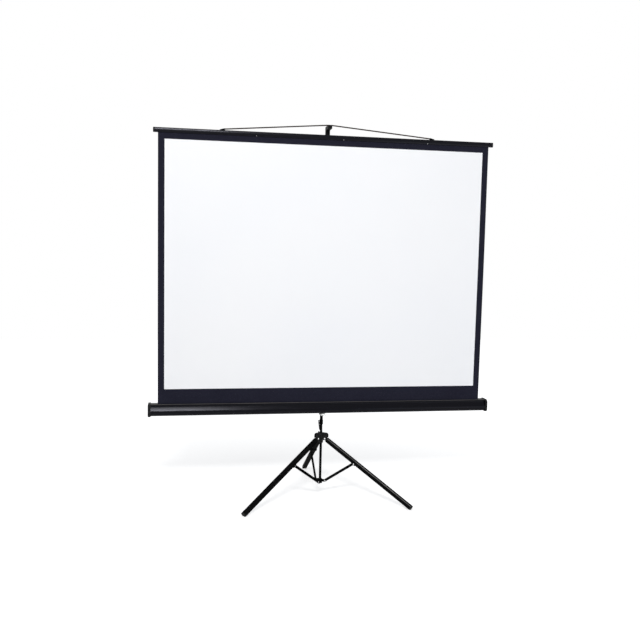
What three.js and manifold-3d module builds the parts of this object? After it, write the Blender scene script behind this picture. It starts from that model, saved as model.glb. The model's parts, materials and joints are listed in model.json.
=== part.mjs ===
// Tripod projection screen: roll-up viewing fabric in a tubular case, carried on a folding tripod stand.
// Millimetres, +Z up, +X to the viewer's right, -Y towards the viewer.

import * as THREE from 'three';
import { mergeVertices } from 'three/addons/utils/BufferGeometryUtils.js';
import Module from 'manifold-3d';

// Viewing fabric
const VIEW_WIDTH = 1700;
const VIEW_HEIGHT = 1283;
const SIDE_BORDER = 33;
const TOP_BORDER = 31;
const BOTTOM_DROP = 78;
const FABRIC_THICK = 0.5;
const COATING_THICK = 0.4;

// Case and its end caps
const CASE_END_ROOM = 34;
const CASE_HEIGHT = 64;
const CASE_DEPTH = 60;
const CASE_WALL = 1.6;
const CASE_FRONT_ROUND = 22;
const CASE_BACK_ROUND = 7;
const CASE_SETBACK = 18;
const SLOT_WIDTH = 11;
const FABRIC_FROM_BACK = 40;
const CAP_THICK = 5;
const CAP_CROWN = 3;
const CAP_CROWN_INSET = 6;
const CAP_LIP = 2;
const CAP_PLUG_DEPTH = 12;

// Spring roller inside the case
const ROLLER_R = 16;
const ROLLER_WALL = 1.2;
const ROLLER_OVERHANG = 10;
const ROLLER_PLUG_DEPTH = 25;
const ROLLER_FLANGE = 4;
const JOURNAL_R = 4;
const ARBOR_LENGTH = 330;
const SPRING_COIL_R = 9;
const SPRING_WIRE_R = 1;
const SPRING_TURNS = 7;
const SPRING_PITCH = 24;
const SPRING_START = 40;

// Top bar and hanger cord
const BAR_HEIGHT = 25;
const BAR_DEPTH = 13;
const BAR_OVERHANG = 16;
const BAR_ROUND = 5;
const BAR_SLOT_DEPTH = 12;
const BAR_SLOT_SIDE = 0.85;
const BAR_CAP_THICK = 8;
const FABRIC_TUCK_GAP = 2;
const HANGER_HALF_SPAN = 560;
const HANGER_RISE = 50;
const HANGER_BEND_WIDTH = 26;
const CORD_R = 2.75;
const LUG_LENGTH = 26;
const LUG_HEIGHT = 11;
const LUG_TOE = 2.6;
const LUG_DEPTH = 9;
const LUG_ROUND = 3;

// Pole and telescoping mast
const POLE_R = 7;
const POLE_WALL = 1.5;
const POLE_LENGTH = 1151;
const MAST_GAP = 0.5;
const MAST_WALL = 1;
const MAST_LENGTH = 1060;
const MAST_GLIDE_HEIGHT = 6;
const MAST_GLIDE_PLUG = 20;
const MAST_CLAMP_WALL = 2.7;
const MAST_CLAMP_GRIP = 20;
const MAST_CLAMP_RISE = 14;
const SCREW_R = 2.5;
const KNOB_R = 9;
const KNOB_THICK = 10;
const KNOB_LOBES = 6;
const KNOB_LOBE_POINTS = 6;
const KNOB_LOBE_DEPTH = 1.2;
const KNOB_STANDOFF = 3;

// Hook on the mast head
const HOOK_SOCKET_WALL = 6;
const HOOK_SOCKET_HEIGHT = 44;
const HOOK_ARM_THICK = 18;
const HOOK_NOSE = 9;
const HOOK_LIP = 1.5;
const HOOK_ROUND = 5;

// Case carrier, saddle and latch
const CARRIER_WALL = 3.2;
const CARRIER_NECK_WALL = 1.1;
const CARRIER_ABOVE_CENTRE = 36;
const CARRIER_BODY_HEIGHT = 76;
const CARRIER_BOSS_R = 13;
const GUSSET_HALF_WIDTH = 22;
const GUSSET_FOOT = 0.2;
const GUSSET_DROP = 26;
const GUSSET_THICK = 4;
const GUSSET_TOP = 12;
const SADDLE_THICK = 3;
const SADDLE_WIDTH = 40;
const SADDLE_LIP_BELOW = 30;
const SADDLE_LIP_ABOVE = 12;
const STUD_R = 4;
const STUD_HEAD_R = 8;
const STUD_HEAD = 1.5;
const STUD_END = 5;
const LATCH_THICK = 5;
const LATCH_LENGTH = 26;
const LATCH_BELOW_CASE = 14;
const LATCH_BAR = 10;
const LATCH_TAPER = 7;
const LATCH_TIP_DROP = 12;
const LATCH_PIN_R = 1.5;
const LATCH_PIN_X = -4;
const LATCH_PIN_HEAD_R = 3;
const LATCH_PIN_HEAD = 1;

// Height clamp ring with its lever
const RING_WALL = 2.7;
const RING_HEIGHT = 24;
const RING_BELOW_CASE = 50;
const LEVER_PIVOT_OUT = 4;
const LEVER_PIVOT_DOWN = 7;
const LEVER_EYE_R = 3.6;
const LEVER_HEAD_ROUND = 3;
const LEVER_LENGTH = 48;
const LEVER_ABOVE_HUB = 14.368;
const LEVER_THICK = 7;
const LEVER_TIP = 3;
const LEVER_EAR = 2.5;
const LEVER_PIN_R = 1.5;

// Folding tripod
const LEG_REACH = 590;
const LEG_TILT_DEG = 56.6;
const LEG_FOLDED_TILT_DEG = 4.6;
const LEG_WIDTH = 26;
const LEG_DEPTH = 24;
const LEG_ROUND = 4;
const LEG_SHOULDER = 9;
const LEG_WALL = 1.5;
const PIVOT_OUT = 13;
const SOLE_CUT_DEPTH = 4.17;
const FOOT_CAP = 8;
const FOOT_PLUG = 18;
const KNUCKLE_WIDTH = 11;
const KNUCKLE_R = 9;
const KNUCKLE_SHOULDER_GAP = 1.5;
const KNUCKLE_SHOULDER = 3;
const KNUCKLE_TENON = 24;
const EAR_THICK = 3.5;
const EAR_R = 10;
const EAR_RISE = 2;
const EAR_REACH = 16;
const EAR_ABOVE_LEG = 5;
const EAR_TOP = 30;
const EAR_TOP_ROUND = 12;
const HUB_WALL = 4.7;
const HUB_BELOW = 26;
const HUB_ABOVE = 32;
const HUB_CHAMFER = 3;
const PIN_R = 3;
const PIN_HEAD_R = 5.5;
const PIN_HEAD = 2.2;
const SET_SCREW_HEAD_R = 4.5;
const SET_SCREW_HEAD = 3;
const SET_SCREW_DOWN = 17;
const CLIP_LENGTH = 22;
const CLIP_THICK = 1.5;
const CLIP_RISE = 5;
const BRACE_PIVOT_DISTANCE = 208;
const BRACE_PIVOT_OFFSET = 8;
const BRACE_DEPTH = 14;
const BRACE_THICK = 2;
const BRACE_FLANGE = 9;
const RIVET_R = 2.5;
const RIVET_HEAD_R = 4.2;
const RIVET_HEAD = 2;
const COLLAR_WALL = 7.8;
const COLLAR_HEIGHT = 24;
const COLLAR_LUG_WIDTH = 9;
const COLLAR_LUG_R = 6.5;
const ROD_GAP = 1.5;
const ROD_GUIDE = 36;
const ROD_STOP_HEIGHT = 8;
const BUSH_LENGTH = 20;

// Fits and roundness
const CLEAR = 0.3;
const SLIDE = 0.2;
const ROUND_STEPS = 16;
const SMALL_STEPS = 10;
const CORNER_STEPS = 3;
const CORD_SIDES = 8;
const CORD_STEPS = 72;
const COIL_STEPS = 8;
const COIL_SIDES = 5;
const BEYOND = 100;
const WELD = 1e-4;
const OVERLAP = 1;
const EDGE_ROUND = 1;
const CROWN_SHARE = 0.55;
const RIM_SHARE = 0.35;

// Finishes
const paint = new THREE.MeshStandardMaterial({ color: 0x1a1a1c, roughness: 0.42, metalness: 0.3 });
const plastic = new THREE.MeshStandardMaterial({ color: 0x161618, roughness: 0.55, metalness: 0 });
const zinc = new THREE.MeshStandardMaterial({ color: 0xc6cbca, roughness: 0.35, metalness: 0.9 });
const steel = new THREE.MeshStandardMaterial({ color: 0xb4b7b8, roughness: 0.3, metalness: 1 });
const rubber = new THREE.MeshStandardMaterial({ color: 0x202022, roughness: 0.85, metalness: 0 });
const aluminium = new THREE.MeshStandardMaterial({ color: 0x17171a, roughness: 0.35, metalness: 0.5 });
const blackFabric = new THREE.MeshStandardMaterial({ color: 0x1b1b24, roughness: 0.9, metalness: 0 });
const whiteCoating = new THREE.MeshStandardMaterial({ color: 0xf6f7f9, roughness: 0.8, metalness: 0 });
const cordYarn = new THREE.MeshStandardMaterial({ color: 0x5d544e, roughness: 0.85, metalness: 0 });

// Heights and setbacks that follow from the sizes above
const legTilt = THREE.MathUtils.degToRad(LEG_TILT_DEG);
const foldAngle = THREE.MathUtils.degToRad(LEG_TILT_DEG - LEG_FOLDED_TILT_DEG);
const hubZ = LEG_REACH * Math.cos(legTilt) + (LEG_DEPTH / 2) * Math.sin(legTilt) - SOLE_CUT_DEPTH;
const braceLength = Math.hypot(BRACE_PIVOT_DISTANCE, BRACE_PIVOT_OFFSET);
const braceTilt = legTilt - Math.atan2(BRACE_PIVOT_OFFSET, BRACE_PIVOT_DISTANCE);
const collarZ = hubZ - 2 * braceLength * Math.cos(braceTilt);
const collarTravel = 2 * braceLength * (Math.cos(braceTilt - foldAngle) - Math.cos(braceTilt));
const poleBottom = collarZ + COLLAR_HEIGHT / 2 + CLEAR;
const poleTop = poleBottom + POLE_LENGTH;
const poleBore = POLE_R - POLE_WALL;
const poleFit = POLE_R + CLEAR;
const mastR = poleBore - MAST_GAP;
const rodR = poleBore - ROD_GAP;
const mastClampR = poleFit + MAST_CLAMP_WALL;
const carrierR = poleFit + CARRIER_WALL;
const carrierNeckR = poleFit + CARRIER_NECK_WALL;
const ringR = poleFit + RING_WALL;
const hubR = poleFit + HUB_WALL;
const pivotR = hubR + PIVOT_OUT;
const collarR = rodR + SLIDE + COLLAR_WALL;

const hubTop = hubZ + HUB_ABOVE;
const ringTop = hubTop + LEVER_ABOVE_HUB + LEVER_LENGTH + LEVER_PIVOT_DOWN;
const caseBase = ringTop + RING_BELOW_CASE;
const caseTop = caseBase + CASE_HEIGHT;
const caseMidZ = caseBase + CASE_HEIGHT / 2;
const caseBackY = -CASE_SETBACK;
const caseFrontY = caseBackY - CASE_DEPTH;
const fabricY = caseBackY - FABRIC_FROM_BACK;
const fabricHalf = VIEW_WIDTH / 2 + SIDE_BORDER;
const rollerY = fabricY + FABRIC_THICK / 2 + CLEAR + ROLLER_R;
const rollerEnd = fabricHalf + ROLLER_OVERHANG;
const caseHalf = rollerEnd + CASE_END_ROOM;
const rollerBore = ROLLER_R - ROLLER_WALL;

const viewBottom = caseTop + BOTTOM_DROP;
const viewTop = viewBottom + VIEW_HEIGHT;
const barBottom = viewTop + TOP_BORDER;
const barTop = barBottom + BAR_HEIGHT;
const barHalf = fabricHalf + BAR_OVERHANG;
const hangerZ = barTop + HANGER_RISE;

const saddleFrontY = caseBackY + CLEAR;
const saddleBackY = saddleFrontY + SADDLE_THICK;
const bossFaceY = saddleBackY + CLEAR;
const gussetFrontY = -carrierNeckR - GUSSET_THICK;
const mastTop = hangerZ - HOOK_ARM_THICK;

const wasm = await Module();
wasm.setup();

// A closed geometry as a solid that can be joined and cut
function solid(geometry) {
  const bare = geometry.clone();
  bare.deleteAttribute('normal');
  bare.deleteAttribute('uv');
  const merged = mergeVertices(bare, WELD);
  const vertProperties = new Float32Array(merged.getAttribute('position').array);
  const triVerts = new Uint32Array(merged.getIndex().array);
  return new wasm.Manifold(new wasm.Mesh({ numProp: 3, vertProperties, triVerts }));
}

// A solid back as a geometry
function geometryOf(body) {
  const { vertProperties, triVerts } = body.getMesh();
  const geometry = new THREE.BufferGeometry();
  geometry.setAttribute('position', new THREE.BufferAttribute(new Float32Array(vertProperties), 3));
  geometry.setIndex(new THREE.BufferAttribute(new Uint32Array(triVerts), 1));
  return geometry;
}

// One geometry out of joined ones, less the ones taken away
function shapeOf(joined, taken = []) {
  const whole = joined.map(solid).reduce((sum, next) => sum.add(next));
  return geometryOf(taken.map(solid).reduce((rest, next) => rest.subtract(next), whole));
}

// A turned body about Z from [radius, height] points, counter-clockwise round the section
function turned(points, steps = ROUND_STEPS) {
  const profile = [...points, points[0]].map(([radius, height]) => new THREE.Vector2(radius, height));
  return new THREE.LatheGeometry(profile, steps).rotateX(Math.PI / 2);
}

function tube(outer, inner, low, high, steps = ROUND_STEPS) {
  return turned([[inner, low], [outer, low], [outer, high], [inner, high]], steps);
}

function rod(radius, low, high, steps = ROUND_STEPS) {
  return turned([[0, low], [radius, low], [radius, high], [0, high]], steps);
}

// A shank with a round head past its high end, and one past its low end if it is closed at both
function headed(radius, headRadius, headHeight, low, high, twoHeads = false, steps = SMALL_STEPS) {
  const crown = headRadius * CROWN_SHARE;
  const rim = headHeight * RIM_SHARE;
  const tail = [[0, low - headHeight], [crown, low - headHeight], [headRadius, low - rim], [headRadius, low]];
  const start = twoHeads ? [...tail, [radius, low]] : [[0, low], [radius, low]];
  const head = [[radius, high], [headRadius, high], [headRadius, high + rim], [crown, high + headHeight]];
  return turned([...start, ...head, [0, high + headHeight]], steps);
}

const aboutX = (geometry) => geometry.rotateY(Math.PI / 2);
const aboutY = (geometry) => geometry.rotateX(-Math.PI / 2);

// An outline through [x, y, radius] corners, each rounded to its radius
function outline(corners) {
  const shape = new THREE.Shape();
  corners.forEach(([x, y, radius], index) => {
    const corner = new THREE.Vector2(x, y);
    const before = new THREE.Vector2(...corners.at(index - 1)).sub(corner).normalize();
    const after = new THREE.Vector2(...corners[(index + 1) % corners.length]).sub(corner).normalize();
    const half = Math.acos(THREE.MathUtils.clamp(before.dot(after), -1, 1)) / 2;
    if (index === 0) shape.moveTo(...corner.clone().addScaledVector(before, radius / Math.tan(half)));
    if (radius === 0) {
      shape.lineTo(x, y);
      return;
    }
    const centre = before.clone().add(after).normalize().multiplyScalar(radius / Math.sin(half)).add(corner);
    const start = corner.clone().addScaledVector(before, radius / Math.tan(half)).sub(centre).angle();
    const end = corner.clone().addScaledVector(after, radius / Math.tan(half)).sub(centre).angle();
    shape.absarc(centre.x, centre.y, radius, start, end, before.cross(after) > 0);
  });
  shape.closePath();
  return shape;
}

function extruded(shape, length, steps = CORNER_STEPS) {
  return new THREE.ExtrudeGeometry(shape, { depth: length, bevelEnabled: false, curveSegments: steps });
}

const X = new THREE.Vector3(1, 0, 0);
const Y = new THREE.Vector3(0, 1, 0);
const Z = new THREE.Vector3(0, 0, 1);

// A section drawn in Y and Z, run along X
function alongX(shape, low, high, steps) {
  const turn = new THREE.Matrix4().makeBasis(Y, Z, X);
  return extruded(shape, high - low, steps).applyMatrix4(turn).translate(low, 0, 0);
}

// A section drawn in X and Z, run along Y
function alongY(shape, low, high, steps) {
  const turn = new THREE.Matrix4().makeBasis(X, Z, Y.clone().negate());
  return extruded(shape, high - low, steps).applyMatrix4(turn).translate(0, high, 0);
}

function box(lowX, highX, lowY, highY, lowZ, highZ) {
  const geometry = new THREE.BoxGeometry(highX - lowX, highY - lowY, highZ - lowZ);
  return geometry.translate((lowX + highX) / 2, (lowY + highY) / 2, (lowZ + highZ) / 2);
}

function add(parent, name, geometry, material) {
  const mesh = new THREE.Mesh(geometry, material);
  mesh.name = name;
  parent.add(mesh);
}

const stand = new THREE.Group();

// Pole with its lower bush, and the mast clamp that closes its upper end
function buildPole() {
  add(stand, 'pole_tube', tube(POLE_R, poleBore, poleBottom, poleTop), paint);
  const bush = tube(poleBore - SLIDE, rodR + SLIDE, poleBottom, poleBottom + BUSH_LENGTH);
  add(stand, 'pole_foot_bush', bush, plastic);
  const clampBottom = poleTop - MAST_CLAMP_GRIP;
  const clampTop = poleTop + MAST_CLAMP_RISE;
  const throat = mastR + SLIDE;
  const step = poleTop + CLEAR;
  const clamp = turned([
    [poleFit, clampBottom], [mastClampR, clampBottom], [mastClampR, clampTop],
    [throat, clampTop], [throat, step], [poleFit, step],
  ]);
  const screwZ = (step + clampTop) / 2;
  const screwHole = aboutY(rod(SCREW_R + CLEAR, mastR, mastClampR + BEYOND, SMALL_STEPS));
  add(stand, 'mast_clamp', shapeOf([clamp], [screwHole.translate(0, 0, screwZ)]), plastic);
  buildMastKnob(screwZ);
}

// Lobed thumb screw that bears on the mast
function buildMastKnob(screwZ) {
  const lobes = new THREE.Shape();
  const points = KNOB_LOBES * KNOB_LOBE_POINTS;
  for (let index = 0; index < points; index += 1) {
    const angle = (index / points) * 2 * Math.PI;
    const radius = KNOB_R - KNOB_LOBE_DEPTH * (1 + Math.cos(KNOB_LOBES * angle)) / 2;
    const corner = [radius * Math.cos(angle), radius * Math.sin(angle)];
    if (index === 0) lobes.moveTo(...corner);
    else lobes.lineTo(...corner);
  }
  lobes.closePath();
  const knobStart = mastClampR + KNOB_STANDOFF;
  const grip = alongY(lobes, knobStart, knobStart + KNOB_THICK);
  const shank = aboutY(rod(SCREW_R, mastR + CLEAR, knobStart + KNOB_THICK / 2, SMALL_STEPS));
  add(stand, 'mast_lock_knob', shapeOf([grip, shank]).translate(0, 0, screwZ), plastic);
}

// Telescoping mast with its lower glide, and the grooved hook that carries the hanger cord
function buildMast() {
  const mastBottom = mastTop - MAST_LENGTH;
  add(stand, 'mast_tube', tube(mastR, mastR - MAST_WALL, mastBottom, mastTop), paint);
  const plug = mastR - MAST_WALL - CLEAR;
  const flangeTop = mastBottom - CLEAR;
  const glide = turned([
    [0, flangeTop - MAST_GLIDE_HEIGHT], [poleBore - SLIDE, flangeTop - MAST_GLIDE_HEIGHT],
    [poleBore - SLIDE, flangeTop], [plug, flangeTop], [plug, flangeTop + MAST_GLIDE_PLUG],
    [0, flangeTop + MAST_GLIDE_PLUG],
  ]);
  add(stand, 'mast_glide', glide, plastic);
  const backY = mastR + HOOK_SOCKET_WALL;
  const noseY = fabricY - HOOK_NOSE;
  const armTop = hangerZ + HOOK_LIP;
  const armBottom = hangerZ - HOOK_ARM_THICK;
  const socketBottom = armBottom - HOOK_SOCKET_HEIGHT + HOOK_ARM_THICK;
  const profile = outline([
    [backY, socketBottom, 0],
    [backY, armTop, HOOK_ROUND],
    [noseY, armTop, HOOK_ROUND / 2],
    [noseY, armBottom, HOOK_ROUND],
    [-backY, armBottom, 0],
    [-backY, socketBottom, 0],
  ]);
  const body = alongX(profile, -backY, backY);
  const socket = rod(mastR + SLIDE, socketBottom - BEYOND, mastTop + CLEAR);
  const cordWay = CORD_R + CLEAR;
  const groove = aboutX(rod(cordWay, -BEYOND, BEYOND)).translate(0, fabricY, hangerZ);
  const mouth = box(-BEYOND, BEYOND, fabricY - cordWay, fabricY + cordWay, hangerZ, hangerZ + BEYOND);
  add(stand, 'mast_hook', shapeOf([body], [socket, groove, mouth]), plastic);
}

// Top bar that grips the fabric, its end caps, the cord lugs and the cord over the hook
function buildTopBar() {
  const front = fabricY - BAR_DEPTH / 2;
  const back = fabricY + BAR_DEPTH / 2;
  const slotTop = barBottom + BAR_SLOT_DEPTH;
  const slotHalf = FABRIC_THICK / 2 + BAR_SLOT_SIDE;
  const section = outline([
    [fabricY - slotHalf, barBottom, 0],
    [fabricY - slotHalf, slotTop, 0],
    [fabricY + slotHalf, slotTop, 0],
    [fabricY + slotHalf, barBottom, 0],
    [back, barBottom, BAR_ROUND / 2],
    [back, barTop, BAR_ROUND],
    [front, barTop, BAR_ROUND],
    [front, barBottom, BAR_ROUND / 2],
  ]);
  const capSection = outline([
    [back, barBottom, BAR_ROUND / 2],
    [back, barTop, BAR_ROUND],
    [front, barTop, BAR_ROUND],
    [front, barBottom, BAR_ROUND / 2],
  ]);
  add(stand, 'top_bar', alongX(section, -barHalf, barHalf), aluminium);
  const lugSection = outline([
    [-LUG_LENGTH / 2, barTop + CLEAR, 0],
    [LUG_LENGTH / 2, barTop + CLEAR, 0],
    [LUG_LENGTH / 2, barTop + LUG_TOE, EDGE_ROUND],
    [-LUG_LENGTH / 2, barTop + LUG_HEIGHT, LUG_ROUND],
  ]);
  for (const [side, sign] of [['left', -1], ['right', 1]]) {
    const capLow = sign > 0 ? barHalf + CLEAR : -barHalf - CLEAR - BAR_CAP_THICK;
    add(stand, `top_bar_cap_${side}`, alongX(capSection, capLow, capLow + BAR_CAP_THICK), plastic);
    const lug = alongY(lugSection, -LUG_DEPTH / 2, LUG_DEPTH / 2).rotateZ(sign > 0 ? 0 : Math.PI);
    add(stand, `hanger_lug_${side}`, lug.translate(sign * HANGER_HALF_SPAN, fabricY, 0), paint);
  }
  buildHangerCord();
}

// Taut cord from lug to lug, bent over the hook
function buildHangerCord() {
  const endX = HANGER_HALF_SPAN - LUG_LENGTH / 2 - CLEAR;
  const endZ = barTop + LUG_HEIGHT / 2 + CLEAR;
  const bendShare = HANGER_BEND_WIDTH / (2 * endX);
  const peakZ = (hangerZ - endZ * bendShare) / (1 - bendShare);
  const bendZ = peakZ - (peakZ - endZ) * (HANGER_BEND_WIDTH / endX);
  const point = (x, z) => new THREE.Vector3(x, fabricY, z);
  const route = new THREE.CurvePath();
  route.add(new THREE.LineCurve3(point(-endX, endZ), point(-HANGER_BEND_WIDTH, bendZ)));
  route.add(new THREE.QuadraticBezierCurve3(
    point(-HANGER_BEND_WIDTH, bendZ), point(0, peakZ), point(HANGER_BEND_WIDTH, bendZ),
  ));
  route.add(new THREE.LineCurve3(point(HANGER_BEND_WIDTH, bendZ), point(endX, endZ)));
  const section = new THREE.Shape();
  for (let index = 0; index < CORD_SIDES; index += 1) {
    const angle = (index / CORD_SIDES) * 2 * Math.PI;
    const corner = [CORD_R * Math.cos(angle), CORD_R * Math.sin(angle)];
    if (index === 0) section.moveTo(...corner);
    else section.lineTo(...corner);
  }
  section.closePath();
  const cord = new THREE.ExtrudeGeometry(section, {
    steps: CORD_STEPS, extrudePath: route, bevelEnabled: false,
  });
  add(stand, 'hanger_cord', cord, cordYarn);
}

// Black-backed fabric from the roller to the top bar, with the white coating on its front
function buildFabric() {
  const fabric = box(
    -fabricHalf, fabricHalf,
    fabricY - FABRIC_THICK / 2, fabricY + FABRIC_THICK / 2,
    caseMidZ, barBottom + BAR_SLOT_DEPTH - FABRIC_TUCK_GAP,
  );
  add(stand, 'screen_fabric', fabric, blackFabric);
  const coatBack = fabricY - FABRIC_THICK / 2 - CLEAR;
  const coating = box(
    -VIEW_WIDTH / 2, VIEW_WIDTH / 2, coatBack - COATING_THICK, coatBack, viewBottom, viewTop,
  );
  add(stand, 'viewing_surface', coating, whiteCoating);
}

// The case outline grown by a margin, or shrunk by a negative one
function caseOutline(grow) {
  return [
    [caseBackY + grow, caseBase - grow, CASE_BACK_ROUND + grow],
    [caseBackY + grow, caseTop + grow, CASE_BACK_ROUND + grow],
    [caseFrontY - grow, caseTop + grow, CASE_FRONT_ROUND / 2 + grow],
    [caseFrontY - grow, caseBase - grow, CASE_FRONT_ROUND + grow],
  ];
}

// Slotted case tube and its two end caps
function buildCase() {
  const [outBackLow, outBackHigh, outFrontHigh, outFrontLow] = caseOutline(0);
  const [inBackLow, inBackHigh, inFrontHigh, inFrontLow] = caseOutline(-CASE_WALL);
  const slotBack = fabricY + SLOT_WIDTH / 2;
  const slotFront = fabricY - SLOT_WIDTH / 2;
  const section = outline([
    outBackLow, outBackHigh,
    [slotBack, caseTop, 0], [slotBack, caseTop - CASE_WALL, 0],
    inBackHigh, inBackLow, inFrontLow, inFrontHigh,
    [slotFront, caseTop - CASE_WALL, 0], [slotFront, caseTop, 0],
    outFrontHigh, outFrontLow,
  ]);
  add(stand, 'case_shell', alongX(section, -caseHalf, caseHalf), aluminium);
  const flange = outline(caseOutline(CAP_LIP));
  const crown = outline(caseOutline(CAP_LIP - CAP_CROWN_INSET));
  const plug = outline(caseOutline(-CASE_WALL - CLEAR));
  const start = caseHalf + CLEAR;
  for (const [side, turn] of [['left', -1], ['right', 1]]) {
    const span = (from, to) => (turn > 0 ? [from, to] : [-to, -from]);
    const socket = aboutX(rod(JOURNAL_R + CLEAR, ...span(0, start), SMALL_STEPS));
    const cap = shapeOf([
      alongX(flange, ...span(start, start + CAP_THICK)),
      alongX(crown, ...span(start, start + CAP_THICK + CAP_CROWN)),
      alongX(plug, ...span(caseHalf - CAP_PLUG_DEPTH, start)),
    ], [socket.translate(0, rollerY, caseMidZ)]);
    add(stand, `case_cap_${side}`, cap, plastic);
  }
}

// Spring roller: tube, two plugs, the fixed arbor and the coil spring round it
function buildRoller() {
  const onAxis = (geometry) => aboutX(geometry).translate(0, rollerY, caseMidZ);
  add(stand, 'roller_tube', onAxis(tube(ROLLER_R, rollerBore, -rollerEnd, rollerEnd)), zinc);
  const plugR = rollerBore - SLIDE;
  const plugIn = rollerEnd - ROLLER_PLUG_DEPTH;
  const flangeIn = rollerEnd + CLEAR;
  const flangeOut = flangeIn + ROLLER_FLANGE;
  const journal = turned([
    [0, plugIn], [plugR, plugIn], [plugR, flangeIn], [ROLLER_R, flangeIn], [ROLLER_R, flangeOut],
    [JOURNAL_R, flangeOut], [JOURNAL_R, caseHalf - CLEAR], [0, caseHalf - CLEAR],
  ]);
  add(stand, 'roller_plug_right', onAxis(journal), plastic);
  const bore = JOURNAL_R + CLEAR;
  const bearing = turned([
    [bore, -flangeOut], [ROLLER_R, -flangeOut], [ROLLER_R, -flangeIn],
    [plugR, -flangeIn], [plugR, -plugIn], [bore, -plugIn],
  ]);
  add(stand, 'roller_plug_left', onAxis(bearing), plastic);
  const arborStart = -caseHalf + CLEAR;
  add(stand, 'spring_arbor', onAxis(rod(JOURNAL_R, arborStart, arborStart + ARBOR_LENGTH)), steel);
  add(stand, 'roller_spring', onAxis(coilSpring(-plugIn + SPRING_START)), steel);
}

// One unbroken helix of round wire about Z, starting at the given height
function coilSpring(start) {
  class Helix extends THREE.Curve {
    getPoint(t, target = new THREE.Vector3()) {
      const angle = t * SPRING_TURNS * 2 * Math.PI;
      const height = start + t * SPRING_TURNS * SPRING_PITCH;
      return target.set(SPRING_COIL_R * Math.cos(angle), SPRING_COIL_R * Math.sin(angle), height);
    }
  }
  const wire = new THREE.Shape();
  for (let index = 0; index < COIL_SIDES; index += 1) {
    const angle = (index / COIL_SIDES) * 2 * Math.PI;
    const corner = [SPRING_WIRE_R * Math.cos(angle), SPRING_WIRE_R * Math.sin(angle)];
    if (index === 0) wire.moveTo(...corner);
    else wire.lineTo(...corner);
  }
  wire.closePath();
  return new THREE.ExtrudeGeometry(wire, {
    steps: SPRING_TURNS * COIL_STEPS, extrudePath: new Helix(), bevelEnabled: false,
  });
}

// Carrier that slides on the pole, the saddle that holds the case, its stud, and the latch below the case
function buildCarrier() {
  const bodyTop = caseMidZ + CARRIER_ABOVE_CENTRE;
  const bodyBottom = bodyTop - CARRIER_BODY_HEIGHT;
  const sleeve = turned([
    [poleFit, ringTop + CLEAR], [carrierNeckR, ringTop + CLEAR], [carrierNeckR, bodyBottom],
    [carrierR, bodyBottom], [carrierR, bodyTop], [poleFit, bodyTop],
  ]);
  const boss = aboutY(rod(CARRIER_BOSS_R, bossFaceY, -poleFit)).translate(0, 0, caseMidZ);
  const gussetTop = caseBase + GUSSET_TOP;
  const gussetLow = caseBase - GUSSET_DROP;
  const gussetFoot = carrierNeckR + GUSSET_FOOT;
  const gusset = alongY(outline([
    [-gussetFoot, gussetLow, 0], [gussetFoot, gussetLow, 0],
    [GUSSET_HALF_WIDTH, caseBase, 0], [GUSSET_HALF_WIDTH, gussetTop, 0],
    [-GUSSET_HALF_WIDTH, gussetTop, 0], [-GUSSET_HALF_WIDTH, caseBase, 0],
  ]), gussetFrontY, gussetFrontY + GUSSET_THICK + carrierNeckR / 2);
  const poleWay = rod(poleFit, ringTop - BEYOND, bodyTop + BEYOND);
  const studEnd = bossFaceY + STUD_END;
  const studHole = aboutY(rod(STUD_R + CLEAR, bossFaceY - BEYOND, studEnd + CLEAR)).translate(0, 0, caseMidZ);
  const latchY = gussetFrontY - CLEAR;
  const pinZ = caseBase - SADDLE_THICK - 2 * CLEAR - LATCH_BELOW_CASE;
  const pinHole = aboutY(rod(LATCH_PIN_R + CLEAR, gussetFrontY - BEYOND, -poleFit, SMALL_STEPS))
    .translate(LATCH_PIN_X, 0, pinZ);
  add(stand, 'pole_carrier', shapeOf([sleeve, boss, gusset], [poleWay, studHole, pinHole]), paint);

  const lowLip = caseBase - CLEAR;
  const highLip = caseTop + CLEAR;
  const saddle = alongX(outline([
    [saddleBackY, lowLip - SADDLE_THICK, SADDLE_THICK],
    [saddleBackY, highLip + SADDLE_THICK, SADDLE_THICK],
    [caseBackY - SADDLE_LIP_ABOVE, highLip + SADDLE_THICK, 0],
    [caseBackY - SADDLE_LIP_ABOVE, highLip, 0],
    [saddleFrontY, highLip, 0],
    [saddleFrontY, lowLip, 0],
    [caseBackY - SADDLE_LIP_BELOW, lowLip, 0],
    [caseBackY - SADDLE_LIP_BELOW, lowLip - SADDLE_THICK, 0],
  ]), -SADDLE_WIDTH / 2, SADDLE_WIDTH / 2);
  const headSeat = saddleFrontY + STUD_HEAD + CLEAR;
  const headWay = aboutY(rod(STUD_HEAD_R + CLEAR, caseBackY, headSeat)).translate(0, 0, caseMidZ);
  const shankWay = aboutY(rod(STUD_R + CLEAR, caseBackY, bossFaceY)).translate(0, 0, caseMidZ);
  add(stand, 'case_saddle', shapeOf([saddle], [headWay, shankWay]), paint);
  const stud = turned([
    [0, saddleFrontY], [STUD_HEAD_R, saddleFrontY], [STUD_HEAD_R, saddleFrontY + STUD_HEAD],
    [STUD_R, saddleFrontY + STUD_HEAD], [STUD_R, studEnd], [0, studEnd],
  ]);
  add(stand, 'case_pivot_stud', aboutY(stud).translate(0, 0, caseMidZ), steel);
  buildLatch(latchY, pinZ);
}

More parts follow.
